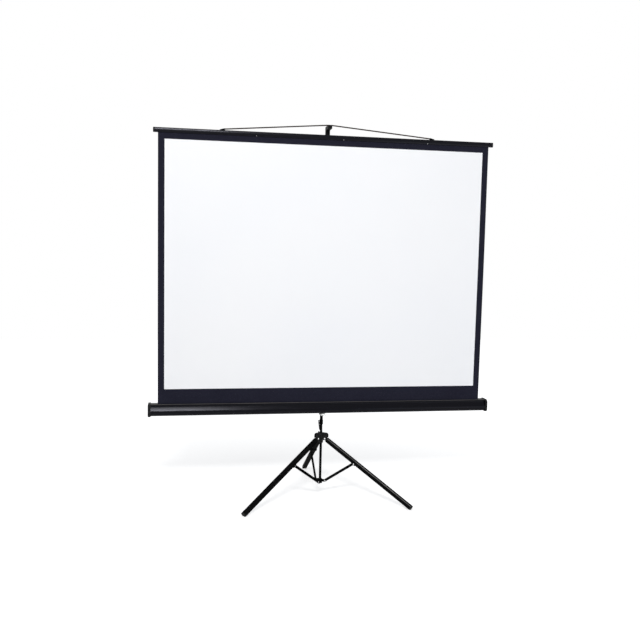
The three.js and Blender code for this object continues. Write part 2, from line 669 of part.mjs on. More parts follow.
// Plated release latch with its pin
function buildLatch(latchY, pinZ) {
  const half = LATCH_BAR / 2;
  const rootX = LATCH_PIN_X - half;
  const tipX = LATCH_PIN_X + LATCH_LENGTH;
  const tipZ = pinZ - LATCH_TIP_DROP;
  const plate = alongY(outline([
    [rootX, pinZ - half, half],
    [tipX - LATCH_TAPER, pinZ - half, EDGE_ROUND],
    [tipX - LATCH_TAPER / 2, tipZ, EDGE_ROUND],
    [tipX, tipZ + LATCH_PIN_HEAD_R, EDGE_ROUND],
    [tipX - LATCH_TAPER / 2, pinZ + half, half],
    [rootX, pinZ + half, half],
  ]), latchY - LATCH_THICK, latchY);
  const hole = aboutY(rod(LATCH_PIN_R + CLEAR, -BEYOND, BEYOND, SMALL_STEPS)).translate(LATCH_PIN_X, 0, pinZ);
  add(stand, 'case_latch', shapeOf([plate], [hole]), zinc);
  const front = latchY - LATCH_THICK - CLEAR;
  const pin = turned([
    [0, front - LATCH_PIN_HEAD], [LATCH_PIN_HEAD_R, front - LATCH_PIN_HEAD], [LATCH_PIN_HEAD_R, front],
    [LATCH_PIN_R, front], [LATCH_PIN_R, -poleFit - CLEAR], [0, -poleFit - CLEAR],
  ], SMALL_STEPS);
  add(stand, 'latch_pin', aboutY(pin).translate(LATCH_PIN_X, 0, pinZ), steel);
}

// Clamp ring below the carrier with its hanging lever on the left
function buildHeightClamp() {
  const ring = tube(ringR, poleFit, ringTop - RING_HEIGHT, ringTop);
  const pivotX = -ringR - LEVER_PIVOT_OUT;
  const pivotZ = ringTop - LEVER_PIVOT_DOWN;
  const earStart = LEVER_THICK / 2 + CLEAR;
  const earShape = outline([
    [pivotX - LEVER_EYE_R, pivotZ - LEVER_EYE_R, LEVER_EYE_R],
    [-poleFit, pivotZ - LEVER_EYE_R, 0],
    [-poleFit, pivotZ + LEVER_EYE_R, 0],
    [pivotX - LEVER_EYE_R, pivotZ + LEVER_EYE_R, LEVER_EYE_R],
  ]);
  const ears = [
    alongY(earShape, earStart, earStart + LEVER_EAR),
    alongY(earShape, -earStart - LEVER_EAR, -earStart),
  ];
  const onPivot = (geometry) => aboutY(geometry).translate(pivotX, 0, pivotZ);
  const pinWay = onPivot(rod(LEVER_PIN_R + CLEAR, -BEYOND, BEYOND, SMALL_STEPS));
  const poleWay = rod(poleFit, ringTop - BEYOND, ringTop + BEYOND);
  add(stand, 'height_clamp', shapeOf([ring, ...ears], [pinWay, poleWay]), paint);
  const pinEnd = earStart + LEVER_EAR + CLEAR;
  const pin = onPivot(headed(LEVER_PIN_R, LEVER_PIN_R * 2, LEVER_PIN_R, -pinEnd, pinEnd, true));
  add(stand, 'clamp_lever_pin', pin, steel);
  const innerX = -ringR - CLEAR;
  const tipZ = pivotZ - LEVER_LENGTH;
  const ringBottom = ringTop - RING_HEIGHT - CLEAR;
  const nearX = -poleFit - CLEAR;
  const lever = alongY(outline([
    [pivotX - LEVER_EYE_R, pivotZ + LEVER_EYE_R, LEVER_HEAD_ROUND],
    [nearX - LEVER_TIP, tipZ, EDGE_ROUND],
    [nearX, tipZ, EDGE_ROUND],
    [nearX, ringBottom - LEVER_TIP, EDGE_ROUND],
    [innerX, ringBottom, 0],
    [innerX, pivotZ + LEVER_EYE_R, LEVER_EYE_R],
  ]), -LEVER_THICK / 2, LEVER_THICK / 2);
  add(stand, 'clamp_lever', shapeOf([lever], [pinWay]), plastic);
}

// The three legs stand at these bearings about the pole, measured from +X
const LEGS = [['left', -150], ['right', -30], ['rear', 90]].map(
  ([side, bearing]) => ({ side, turn: THREE.MathUtils.degToRad(bearing) }),
);

// Side of the leg on which its brace lies, measured from the leg's middle plane
const braceInner = LEG_WIDTH / 2 + CLEAR + CLIP_THICK + CLEAR;
const braceOuter = braceInner + BRACE_THICK;

// Hub fixed on the pole with a pair of ears and a pin for each leg
function buildHub() {
  const low = hubZ - HUB_BELOW;
  const sleeve = turned([
    [poleFit, low], [hubR, low], [hubR, hubTop - HUB_CHAMFER], [hubR - HUB_CHAMFER, hubTop],
    [poleFit, hubTop],
  ]);
  const earIn = KNUCKLE_WIDTH / 2 + CLEAR;
  const earOut = earIn + EAR_THICK;
  const earShape = outline([
    [poleFit, hubZ - EAR_R + EAR_RISE, 0],
    [pivotR + EAR_R, hubZ - EAR_R, EAR_R],
    [pivotR + EAR_R, hubZ + EAR_ABOVE_LEG, 0],
    [pivotR + EAR_REACH, hubZ + EAR_ABOVE_LEG, EDGE_ROUND],
    [pivotR + EAR_REACH, hubZ + EAR_TOP, EAR_TOP_ROUND],
    [poleFit, hubZ + EAR_TOP, 0],
  ]);
  const ears = [];
  const pinWays = [];
  for (const { side, turn } of LEGS) {
    ears.push(alongY(earShape, earIn, earOut).rotateZ(turn), alongY(earShape, -earOut, -earIn).rotateZ(turn));
    const onPivot = (geometry) => aboutY(geometry).translate(pivotR, 0, hubZ).rotateZ(turn);
    pinWays.push(onPivot(rod(PIN_R + CLEAR, -earOut - OVERLAP, earOut + OVERLAP, SMALL_STEPS)));
    const pinEnd = earOut + CLEAR;
    const pin = onPivot(headed(PIN_R, PIN_HEAD_R, PIN_HEAD, -pinEnd, pinEnd, true));
    add(stand, `leg_pivot_pin_${side}`, pin, steel);
  }
  const screwTurn = (LEGS[1].turn + LEGS[2].turn) / 2;
  const onScrew = (geometry) => aboutX(geometry).rotateZ(screwTurn).translate(0, 0, hubZ - SET_SCREW_DOWN);
  const screwWay = onScrew(rod(SCREW_R + CLEAR, 0, BEYOND, SMALL_STEPS));
  const poleWay = rod(poleFit, low - BEYOND, hubTop + BEYOND);
  add(stand, 'leg_hub', shapeOf([sleeve, ...ears], [poleWay, screwWay, ...pinWays]), paint);
  const screw = headed(SCREW_R, SET_SCREW_HEAD_R, SET_SCREW_HEAD, poleFit, hubR + CLEAR);
  add(stand, 'hub_set_screw', onScrew(screw), steel);
}

// One leg in its own frame: X down the leg from its pivot, Y across it, Z out of its upper face
function buildLeg({ side, turn }) {
  const bearing = new THREE.Group();
  bearing.rotation.z = turn;
  stand.add(bearing);
  const leg = new THREE.Group();
  leg.position.set(pivotR, 0, hubZ);
  leg.rotation.y = Math.PI / 2 - legTilt;
  leg.updateMatrix();
  bearing.add(leg);

  const section = (inset, thinner) => {
    const across = LEG_WIDTH / 2 - inset;
    const up = LEG_DEPTH / 2 - inset;
    const edge = LEG_ROUND - thinner;
    const shoulder = LEG_SHOULDER - thinner;
    return outline([
      [-across, -up, edge], [across, -up, edge], [across, up, shoulder], [-across, up, shoulder],
    ]);
  };
  const skin = section(0, 0);
  const inner = (gap) => section(LEG_WALL + gap, LEG_WALL);
  const shoulderAt = EAR_R + KNUCKLE_SHOULDER_GAP;
  const shoulderEnd = shoulderAt + KNUCKLE_SHOULDER;
  const tubeStart = shoulderEnd + CLEAR;
  const tubeEnd = LEG_REACH - FOOT_CAP - CLEAR;
  const wall = shapeOf(
    [alongX(skin, tubeStart, tubeEnd)],
    [alongX(inner(0), tubeStart - BEYOND, tubeEnd + BEYOND)],
  );
  add(leg, `leg_tube_${side}`, wall, paint);

  const half = KNUCKLE_WIDTH / 2;
  const knuckle = shapeOf([
    aboutY(rod(KNUCKLE_R, -half, half)),
    box(0, shoulderAt + OVERLAP, -half, half, -KNUCKLE_R, KNUCKLE_R),
    alongX(skin, shoulderAt, shoulderEnd),
    alongX(inner(CLEAR), shoulderEnd - OVERLAP, shoulderEnd + KNUCKLE_TENON),
  ], [aboutY(rod(PIN_R + CLEAR, -LEG_WIDTH, LEG_WIDTH, SMALL_STEPS))]);
  add(leg, `leg_knuckle_${side}`, knuckle, plastic);

  const floor = box(-BEYOND, LEG_REACH * 2, -BEYOND, BEYOND, -BEYOND, 0);
  floor.applyMatrix4(leg.matrix.clone().invert());
  const cap = shapeOf([
    alongX(skin, LEG_REACH - FOOT_CAP, LEG_REACH),
    alongX(inner(CLEAR), LEG_REACH - FOOT_CAP - FOOT_PLUG, LEG_REACH - FOOT_CAP + OVERLAP),
  ], [floor]);
  add(leg, `foot_cap_${side}`, cap, rubber);
  buildClip(leg, side);
}

// Saddle clip under the leg with the tail of the brace rivet on its free side
function buildClip(leg, side) {
  const sideIn = LEG_WIDTH / 2 + CLEAR;
  const sideOut = sideIn + CLIP_THICK;
  const baseIn = -LEG_DEPTH / 2 - CLEAR;
  const baseOut = baseIn - CLIP_THICK;
  const section = outline([
    [-sideOut, baseOut, CLIP_THICK],
    [sideOut, baseOut, CLIP_THICK],
    [sideOut, CLIP_RISE, 0],
    [sideIn, CLIP_RISE, 0],
    [sideIn, baseIn, 0],
    [-sideIn, baseIn, 0],
    [-sideIn, CLIP_RISE, 0],
    [-sideOut, CLIP_RISE, 0],
  ]);
  const start = BRACE_PIVOT_DISTANCE - CLIP_LENGTH / 2;
  const tailEnd = -sideOut - RIVET_HEAD;
  const tailRoot = -sideIn - CLIP_THICK / 2;
  const tail = aboutY(turned([
    [0, tailEnd], [RIVET_HEAD_R * CROWN_SHARE, tailEnd], [RIVET_HEAD_R, -sideOut - RIVET_HEAD * RIM_SHARE],
    [RIVET_HEAD_R, tailRoot], [0, tailRoot],
  ], SMALL_STEPS)).translate(BRACE_PIVOT_DISTANCE, 0, -BRACE_PIVOT_OFFSET);
  const keep = alongX(section, start, start + CLIP_LENGTH);
  add(leg, `leg_clip_${side}`, shapeOf([keep, tail]), paint);
}

// One brace, a pressing with a raised rim, in its own frame:
// X from the collar up to the leg, Y across, Z out of its upper edge
function buildBrace({ side, turn }) {
  const bearing = new THREE.Group();
  bearing.rotation.z = turn;
  stand.add(bearing);
  const brace = new THREE.Group();
  brace.position.set(pivotR, 0, collarZ);
  brace.rotation.y = braceTilt - Math.PI / 2;
  bearing.add(brace);
  const strip = (half) => outline([
    [-half, -half, half], [braceLength + half, -half, half],
    [braceLength + half, half, half], [-half, half, half],
  ]);
  const pressing = alongY(strip(BRACE_DEPTH / 2), braceInner, braceInner + BRACE_FLANGE);
  const hollow = alongY(strip(BRACE_DEPTH / 2 - BRACE_THICK), braceOuter, braceInner + BEYOND);
  const holes = [0, braceLength].map(
    (along) => aboutY(rod(RIVET_R + CLEAR, -BEYOND, BEYOND, SMALL_STEPS)).translate(along, 0, 0),
  );
  add(brace, `brace_strip_${side}`, shapeOf([pressing], [hollow, ...holes]), paint);
  const rivet = aboutY(headed(RIVET_R, RIVET_HEAD_R, RIVET_HEAD, braceInner, braceOuter + CLEAR));
  add(brace, `brace_rivet_${side}`, rivet.translate(braceLength, 0, 0), steel);
}

// Collar that draws the braces down as the legs fold, on a rod that slides inside the pole
function buildCollar() {
  const low = collarZ - COLLAR_HEIGHT / 2;
  const high = collarZ + COLLAR_HEIGHT / 2;
  const lugOut = braceInner - CLEAR;
  const lugIn = lugOut - COLLAR_LUG_WIDTH;
  const lugShape = outline([
    [rodR, collarZ - COLLAR_LUG_R, 0],
    [pivotR + COLLAR_LUG_R, collarZ - COLLAR_LUG_R, COLLAR_LUG_R],
    [pivotR + COLLAR_LUG_R, collarZ + COLLAR_LUG_R, COLLAR_LUG_R],
    [rodR, collarZ + COLLAR_LUG_R, 0],
  ]);
  const lugs = [];
  const rivetWays = [];
  for (const { side, turn } of LEGS) {
    const onPivot = (geometry) => aboutY(geometry).translate(pivotR, 0, collarZ).rotateZ(turn);
    lugs.push(alongY(lugShape, lugIn, lugOut).rotateZ(turn));
    rivetWays.push(onPivot(rod(RIVET_R + CLEAR, 0, 2 * lugOut, SMALL_STEPS)));
    const rivet = headed(RIVET_R, RIVET_HEAD_R, RIVET_HEAD, lugIn - CLEAR, braceOuter + CLEAR, true);
    add(stand, `collar_rivet_${side}`, onPivot(rivet), steel);
  }
  const rodWay = rod(rodR + SLIDE, low - BEYOND, high + BEYOND);
  add(stand, 'lower_collar', shapeOf([rod(collarR, low, high), ...lugs], [rodWay, ...rivetWays]), paint);
  const rodTop = poleBottom + BUSH_LENGTH + collarTravel + ROD_GUIDE;
  const slider = turned([
    [0, low], [rodR, low], [rodR, rodTop - ROD_STOP_HEIGHT], [poleBore - SLIDE, rodTop - ROD_STOP_HEIGHT],
    [poleBore - SLIDE, rodTop], [0, rodTop],
  ]);
  add(stand, 'collar_rod', slider, steel);
}

buildPole();
buildMast();
buildTopBar();
buildFabric();
buildCase();
buildRoller();
buildCarrier();
buildHeightClamp();
buildHub();
buildCollar();
LEGS.forEach(buildLeg);
LEGS.forEach(buildBrace);

// The origin is on the floor under the middle of the whole object
const screen = new THREE.Group();
screen.add(stand);
screen.updateMatrixWorld(true);
const extent = new THREE.Box3().setFromObject(screen, true);
stand.position.set(0, -(extent.min.y + extent.max.y) / 2, 0);

export default screen;
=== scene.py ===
# %% [markdown]
# # Tripod projection screen
# A white viewing sheet is pulled out of a long black case and hung by a cord from a hook on a mast.
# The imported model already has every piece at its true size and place. Here each piece gets its
# fine form and its finish. The frame is loaded first and nothing in it is moved: new pieces are
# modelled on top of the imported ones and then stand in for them.

import json
from math import atan2, cos, pi, radians, sin, tan

import bmesh
import bpy
from mathutils import Matrix, Vector


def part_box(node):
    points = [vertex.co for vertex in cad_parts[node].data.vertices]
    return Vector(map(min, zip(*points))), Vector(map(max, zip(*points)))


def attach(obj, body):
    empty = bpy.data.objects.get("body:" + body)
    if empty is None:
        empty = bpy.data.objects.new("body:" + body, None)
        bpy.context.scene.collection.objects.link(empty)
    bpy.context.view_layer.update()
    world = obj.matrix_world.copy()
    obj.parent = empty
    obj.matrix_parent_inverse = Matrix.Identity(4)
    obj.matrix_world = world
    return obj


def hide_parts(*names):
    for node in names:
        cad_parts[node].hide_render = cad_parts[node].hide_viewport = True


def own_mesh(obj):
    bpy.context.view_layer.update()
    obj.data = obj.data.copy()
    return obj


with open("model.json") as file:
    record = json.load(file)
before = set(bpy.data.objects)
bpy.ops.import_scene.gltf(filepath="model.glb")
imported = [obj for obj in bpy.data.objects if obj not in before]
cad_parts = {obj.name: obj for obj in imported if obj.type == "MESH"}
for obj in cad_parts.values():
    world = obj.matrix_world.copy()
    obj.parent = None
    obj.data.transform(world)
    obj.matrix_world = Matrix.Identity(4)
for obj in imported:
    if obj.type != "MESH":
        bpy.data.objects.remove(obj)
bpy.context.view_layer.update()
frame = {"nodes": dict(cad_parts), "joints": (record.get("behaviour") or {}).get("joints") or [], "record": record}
record = frame["record"]
MM = 0.001
BODY_OF = {node: body for body, nodes in record["behaviour"]["bodies"].items() for node in nodes}
SLOT_OF = {part["node"]: part["material_slot"] for part in record["subparts"]}
JOINT = {joint["name"]: joint for joint in frame["joints"]}

# %% [markdown]
# ## Camera
# The photograph was taken from the left of the screen, a little above its middle and tilted down.
# The place, the turn and the focal length come from fitting the corners of the sheet, the ends of
# the case and the feet to the picture. The shift keeps the picture's own centre.

# %% Camera
CAMERA_PLACE = Vector((-0.738, -3.848, 1.332))
CAMERA_YAW = radians(9.289)
CAMERA_PITCH = radians(5.08)
CAMERA_ROLL = radians(-1.091)
IMAGE_SIDE = 640
FOCAL_PIXELS = 699
SENSOR_WIDTH = 36

forward = Vector((sin(CAMERA_YAW) * cos(CAMERA_PITCH), cos(CAMERA_YAW) * cos(CAMERA_PITCH), -sin(CAMERA_PITCH)))
level = Vector((cos(CAMERA_YAW), -sin(CAMERA_YAW), 0))
down = forward.cross(level)
right = cos(CAMERA_ROLL) * level + sin(CAMERA_ROLL) * down
up = sin(CAMERA_ROLL) * level - cos(CAMERA_ROLL) * down

bpy.ops.object.camera_add()
camera = bpy.context.object
camera.matrix_world = Matrix.Translation(CAMERA_PLACE) @ Matrix((right, up, -forward)).transposed().to_4x4()
camera.data.sensor_width = SENSOR_WIDTH
camera.data.lens = SENSOR_WIDTH * FOCAL_PIXELS / IMAGE_SIDE
camera.data.shift_x = 0.0311
camera.data.shift_y = -0.0037
bpy.context.scene.camera = camera
bpy.context.scene.view_settings.view_transform = "Standard"
print("lens", round(camera.data.lens, 2), "mm")

# %% [markdown]
# ## Light and floor
# The picture is a studio cut-out: soft light, a white ground and next to no shadow. One wide soft
# box on the left gives the long highlight on the case. The world is dimmer for the object than it
# looks to the camera, so that the background is white and the black pieces still have some shape.

# %% World
WORLD_LEVEL = 0.4
WORLD_TINT = (0.95, 0.97, 1.0, 1)
WHITE = (1, 1, 1, 1)


def seen_directly(tree):
    """One where a ray comes from the camera, a mirror-like surface or a clear one, and zero elsewhere."""
    path = tree.nodes.new("ShaderNodeLightPath")
    total = path.outputs["Is Camera Ray"]
    for name in ("Is Glossy Ray", "Is Transmission Ray"):
        either = tree.nodes.new("ShaderNodeMath")
        either.operation = "MAXIMUM"
        tree.links.new(total, either.inputs[0])
        tree.links.new(path.outputs[name], either.inputs[1])
        total = either.outputs[0]
    return total


world = bpy.data.worlds.new("studio")
bpy.context.scene.world = world
world.use_nodes = True
sky = world.node_tree
lit = sky.nodes["Background"]
lit.inputs["Color"].default_value = WORLD_TINT
lit.inputs["Strength"].default_value = WORLD_LEVEL
shown = sky.nodes.new("ShaderNodeBackground")
shown.inputs["Color"].default_value = WHITE
choice = sky.nodes.new("ShaderNodeMixShader")
sky.links.new(seen_directly(sky), choice.inputs["Fac"])
sky.links.new(lit.outputs[0], choice.inputs[1])
sky.links.new(shown.outputs[0], choice.inputs[2])
sky.links.new(choice.outputs[0], sky.nodes["World Output"].inputs["Surface"])
print("world level", WORLD_LEVEL)

# %% Soft boxes
AIM = Vector((0, -0.18, 1.1))


def soft_box(name, place, width, height, watts, colour):
    """A rectangular lamp that looks at the middle of the sheet."""
    bpy.ops.object.light_add(type="AREA", location=place)
    lamp = bpy.context.object
    lamp.name = name
    lamp.rotation_euler = (AIM - Vector(place)).to_track_quat("-Z", "Y").to_euler()
    lamp.data.shape = "RECTANGLE"
    lamp.data.size = width
    lamp.data.size_y = height
    lamp.data.energy = watts
    lamp.data.color = colour
    print(name, watts, "W at", place)


soft_box("key_box", (-0.93, -4.4, 3.5), 1.2, 0.54, 120, (1.0, 0.99, 0.98))
soft_box("fill_box", (2.0, -3.2, 0.9), 1.8, 1.4, 12, (0.94, 0.97, 1.0))
soft_box("back_box", (0.6, 3.0, 2.4), 1.6, 1.2, 26, (1.0, 1.0, 1.0))

# %% Floor
FLOOR_SIDE = 14
FLOOR_GREY = 0.86
LIFT_NEAR = 0.5
LIFT_FAR = 0.8

bpy.ops.object.select_all(action="DESELECT")
bpy.ops.mesh.primitive_plane_add(size=FLOOR_SIDE, location=(0, 0, -0.5 * MM))
floor = bpy.context.object
floor.name = "floor"
ground = bpy.data.materials.new("pale_floor")
ground.use_nodes = True
paper = ground.node_tree
matt = paper.nodes["Principled BSDF"]
matt.inputs["Base Color"].default_value = (FLOOR_GREY, FLOOR_GREY, FLOOR_GREY, 1)
matt.inputs["Roughness"].default_value = 1.0
matt.inputs["Specular IOR Level"].default_value = 0.0
glow = paper.nodes.new("ShaderNodeEmission")
where = paper.nodes.new("ShaderNodeTexCoord")
distance = paper.nodes.new("ShaderNodeVectorMath")
distance.operation = "LENGTH"
fade = paper.nodes.new("ShaderNodeMapRange")
fade.inputs["From Min"].default_value = 0.7
fade.inputs["From Max"].default_value = 3.2
fade.inputs["To Min"].default_value = LIFT_NEAR
fade.inputs["To Max"].default_value = LIFT_FAR
lift = paper.nodes.new("ShaderNodeMath")
lift.operation = "MULTIPLY"
both = paper.nodes.new("ShaderNodeAddShader")
paper.links.new(where.outputs["Object"], distance.inputs[0])
paper.links.new(distance.outputs["Value"], fade.inputs["Value"])
paper.links.new(fade.outputs["Result"], lift.inputs[1])
paper.links.new(seen_directly(paper), lift.inputs[0])
paper.links.new(lift.outputs[0], glow.inputs["Strength"])
paper.links.new(matt.outputs[0], both.inputs[0])
paper.links.new(glow.outputs[0], both.inputs[1])
paper.links.new(both.outputs[0], paper.nodes["Material Output"].inputs["Surface"])
floor.data.materials.append(ground)
print("floor", FLOOR_SIDE, "m square")

# %% [markdown]
# ## Finishes
# Each finish is a short chain of nodes on Object coordinates: a noise for the colour, another for
# the gloss, and a bump for the texture that the hand would feel. Constants sit on the shader
# itself. The blacks keep a low specular level, because the white room would wash them out.

# %% Small node helpers


def new_finish(name, roughness, specular=0.5, metallic=0.0):
    """An empty finish with its constants on the shader's own sockets."""
    finish = bpy.data.materials.new(name)
    finish.use_nodes = True
    shader = finish.node_tree.nodes["Principled BSDF"]
    shader.inputs["Roughness"].default_value = roughness
    shader.inputs["Specular IOR Level"].default_value = specular
    shader.inputs["Metallic"].default_value = metallic
    return finish


def add_node(finish, kind, links=(), values=(), settings=()):
    """A node with its settings, its constants and the sockets that feed it."""
    made = finish.node_tree.nodes.new(kind)
    for name, value in dict(settings).items():
        setattr(made, name, value)
    for name, value in dict(values).items():
        made.inputs[name].default_value = value
    for name, source in dict(links).items():
        finish.node_tree.links.new(source, made.inputs[name])
    return made


def to_shader(finish, socket, source):
    finish.node_tree.links.new(source, finish.node_tree.nodes["Principled BSDF"].inputs[socket])


def placed(finish, stretch=(1, 1, 1), source="Object"):
    """Coordinates of the piece, stretched along its axes."""
    where = add_node(finish, "ShaderNodeTexCoord")
    scaled = add_node(finish, "ShaderNodeMapping", {"Vector": where.outputs[source]}, {"Scale": stretch})
    return scaled.outputs["Vector"]


def grain(finish, scale, detail=4.0, stretch=(1, 1, 1)):
    """A noise from zero to one."""
    noise = add_node(finish, "ShaderNodeTexNoise", {"Vector": placed(finish, stretch)}, {"Scale": scale, "Detail": detail})
    return noise.outputs["Fac"]


def between(finish, share, low, high):
    """A share near the middle of a noise, spread from a low value to a high one."""
    spread = add_node(
        finish, "ShaderNodeMapRange", {"Value": share},
        {"From Min": 0.3, "From Max": 0.7, "To Min": low, "To Max": high},
    )
    return spread.outputs["Result"]


def blended(finish, share, dark, light):
    """A colour between two."""
    mix = add_node(finish, "ShaderNodeMix", settings={"data_type": "RGBA"})
    colours = [socket for socket in mix.inputs if socket.type == "RGBA"]
    for socket, colour in zip(colours, (dark, light)):
        if isinstance(colour, tuple):
            socket.default_value = (*colour, 1)
        else:
            finish.node_tree.links.new(colour, socket)
    finish.node_tree.links.new(share, mix.inputs["Factor"])
    return next(socket for socket in mix.outputs if socket.type == "RGBA")


def worn_edges(finish, scale, start=0.51, end=0.57):
    """One on edges that stand out, broken up by a noise."""
    shape = add_node(finish, "ShaderNodeNewGeometry")
    edge = add_node(
        finish, "ShaderNodeMapRange", {"Value": shape.outputs["Pointiness"]},
        {"From Min": start, "From Max": end},
    )
    patches = between(finish, grain(finish, scale), 0.0, 1.0)
    both = add_node(finish, "ShaderNodeMath", {0: edge.outputs["Result"], 1: patches}, settings={"operation": "MULTIPLY"})
    return both.outputs[0]


def felt(finish, height, strength, depth):
    """A bump on the shader's normal."""
    bump = add_node(finish, "ShaderNodeBump", {"Height": height}, {"Strength": strength, "Distance": depth})
    to_shader(finish, "Normal", bump.outputs["Normal"])


# %% Black finishes


def satin_black_paint():
    """Sprayed paint on steel tube, with a fine orange peel and thin edges."""
    finish = new_finish("satin_black_paint", 0.36, 0.002)
    coat = blended(finish, between(finish, grain(finish, 40), 0, 1), (0.002, 0.002, 0.0022), (0.0035, 0.0035, 0.0038))
    worn = blended(finish, worn_edges(finish, 90), coat, (0.013, 0.013, 0.0135))
    to_shader(finish, "Base Color", worn)
    to_shader(finish, "Roughness", between(finish, grain(finish, 120), 0.3, 0.42))
    felt(finish, grain(finish, 700, 2), 0.12, 0.2 * MM)
    return finish


def moulded_black_plastic():
    """Fine-textured moulding, a little greyer and duller than the paint."""
    finish = new_finish("moulded_black_plastic", 0.5, 0.04)
    mass = blended(finish, between(finish, grain(finish, 60), 0, 1), (0.005, 0.005, 0.0055), (0.012, 0.012, 0.0125))
    rubbed = blended(finish, worn_edges(finish, 140), mass, (0.045, 0.045, 0.047))
    to_shader(finish, "Base Color", rubbed)
    to_shader(finish, "Roughness", between(finish, grain(finish, 260), 0.42, 0.6))
    felt(finish, grain(finish, 1600, 3), 0.18, 0.15 * MM)
    return finish


def cast_black():
    """Thick dull coat on a rough casting, rubbed grey in specks."""
    finish = new_finish("cast_black", 0.6, 0.05)
    specks = between(finish, grain(finish, 130, 3), 0, 1)
    mass = blended(finish, specks, (0.003, 0.003, 0.0032), (0.026, 0.026, 0.0265))
    to_shader(finish, "Base Color", blended(finish, worn_edges(finish, 140), mass, (0.1, 0.1, 0.102)))
    to_shader(finish, "Roughness", between(finish, grain(finish, 260), 0.5, 0.7))
    felt(finish, grain(finish, 900, 3), 0.3, 0.3 * MM)
    return finish


def black_coating(name, specular):
    """Black coating on a long extrusion, drawn into faint lines along its length."""
    finish = new_finish(name, 0.2, specular)
    finish.node_tree.nodes["Principled BSDF"].inputs["Specular Tint"].default_value = (0.87, 0.88, 1.0, 1)
    lines = grain(finish, 6, 3, (0.25, 60, 60))
    coat = blended(finish, between(finish, lines, 0, 1), (0.0022, 0.0022, 0.0036), (0.0035, 0.0035, 0.0055))
    worn = blended(finish, worn_edges(finish, 60, 0.52, 0.6), coat, (0.03, 0.03, 0.034))
    to_shader(finish, "Base Color", worn)
    to_shader(finish, "Roughness", between(finish, grain(finish, 30, 4, (0.4, 6, 6)), 0.17, 0.25))
    felt(finish, grain(finish, 500, 2), 0.08, 0.15 * MM)
    return finish


def painted_highlight_grey(name, dark, light, scale):
    """Black coat painted lighter grey in patches along an edge: a painted highlight where the lamp catches it."""
    finish = new_finish(name, 0.5, 0.15)
    patches = between(finish, grain(finish, scale), 0, 1)
    to_shader(finish, "Base Color", blended(finish, patches, dark, light))
    to_shader(finish, "Roughness", between(finish, grain(finish, 200), 0.4, 0.6))
    felt(finish, grain(finish, 500, 2), 0.08, 0.15 * MM)
    return finish


def foot_rubber():
    """Dusty rubber with a scuffed sole."""
    finish = new_finish("foot_rubber", 0.8, 0.12)
    scuffs = between(finish, grain(finish, 180), 0, 1)
    to_shader(finish, "Base Color", blended(finish, scuffs, (0.006, 0.006, 0.006), (0.05, 0.049, 0.047)))
    to_shader(finish, "Roughness", between(finish, grain(finish, 400), 0.7, 0.92))
    felt(finish, grain(finish, 900, 3), 0.3, 0.2 * MM)
    return finish


# %% Bright finishes


def zinc_plate():
    """Pale plating with soft cloudy crystals."""
    finish = new_finish("zinc_plate", 0.36, 0.5, 1.0)
    crystals = add_node(finish, "ShaderNodeTexVoronoi", {"Vector": placed(finish)}, {"Scale": 260})
    pale = blended(finish, between(finish, crystals.outputs["Color"], 0, 1), (0.60, 0.61, 0.60), (0.74, 0.75, 0.74))
    to_shader(finish, "Base Color", pale)
    to_shader(finish, "Roughness", between(finish, grain(finish, 220), 0.28, 0.46))
    felt(finish, grain(finish, 800, 2), 0.1, 0.1 * MM)
    return finish


def bright_steel():
    """Turned and tumbled steel, with fine marks and darker hollows."""
    finish = new_finish("bright_steel", 0.26, 0.5, 1.0)
    marks = grain(finish, 300, 3, (1, 1, 6))
    to_shader(finish, "Base Color", blended(finish, between(finish, marks, 0, 1), (0.50, 0.50, 0.51), (0.66, 0.66, 0.66)))
    to_shader(finish, "Roughness", between(finish, grain(finish, 500), 0.2, 0.36))
    felt(finish, marks, 0.06, 0.1 * MM)
    return finish


# %% Soft finishes
THREAD = 1.6 * MM


def threads(finish, size, direction):
    """Ridges across the sheet's own flat coordinates, one for each thread."""
    stretch = (size.x / THREAD / 2, size.z / THREAD / 2, 1)
    ridges = add_node(
        finish, "ShaderNodeTexWave", {"Vector": placed(finish, stretch, "UV")}, {"Scale": 1.0 / pi},
        {"bands_direction": direction},
    )
    return ridges.outputs["Fac"]


def black_backing(size):
    """Bluish black woven backing, which shows as the border, the drop and the whole back."""
    finish = new_finish("black_backing", 0.85, 0.1)
    shade = between(finish, grain(finish, 9, 5), 0, 1)
    cloth = blended(finish, shade, (0.0105, 0.0107, 0.0205), (0.0125, 0.0127, 0.0235))
    specks = between(finish, grain(finish, 420, 2), -2.2, 0.5)
    to_shader(finish, "Base Color", blended(finish, specks, cloth, (0.055, 0.055, 0.075)))
    weave = add_node(
        finish, "ShaderNodeMath", {0: threads(finish, size, "X"), 1: threads(finish, size, "Y")},
        settings={"operation": "MULTIPLY"},
    )
    felt(finish, weave.outputs[0], 0.25, 0.12 * MM)
    return finish


def white_coating():
    """Matt white with a skin of tiny glass beads, faintly uneven as a rolled sheet is."""
    finish = new_finish("white_coating", 0.62, 0.3)
    clouds = between(finish, grain(finish, 1.6, 2), 0, 1)
    to_shader(finish, "Base Color", blended(finish, clouds, (0.905, 0.915, 0.94), (0.925, 0.93, 0.945)))
    beads = add_node(finish, "ShaderNodeTexVoronoi", {"Vector": placed(finish)}, {"Scale": 900})
    felt(finish, beads.outputs["Distance"], 0.1, 0.1 * MM)
    return finish


def cord_yarn():
    """Brown-grey yarn with fibres that run along the strands."""
    finish = new_finish("cord_yarn", 0.88, 0.2)
    fibres = grain(finish, 260, 4, (0.5, 5, 5))
    to_shader(finish, "Base Color", blended(finish, between(finish, fibres, 0, 1), (0.013, 0.008, 0.0062), (0.042, 0.027, 0.021)))
    felt(finish, fibres, 0.35, 0.2 * MM)
    return finish


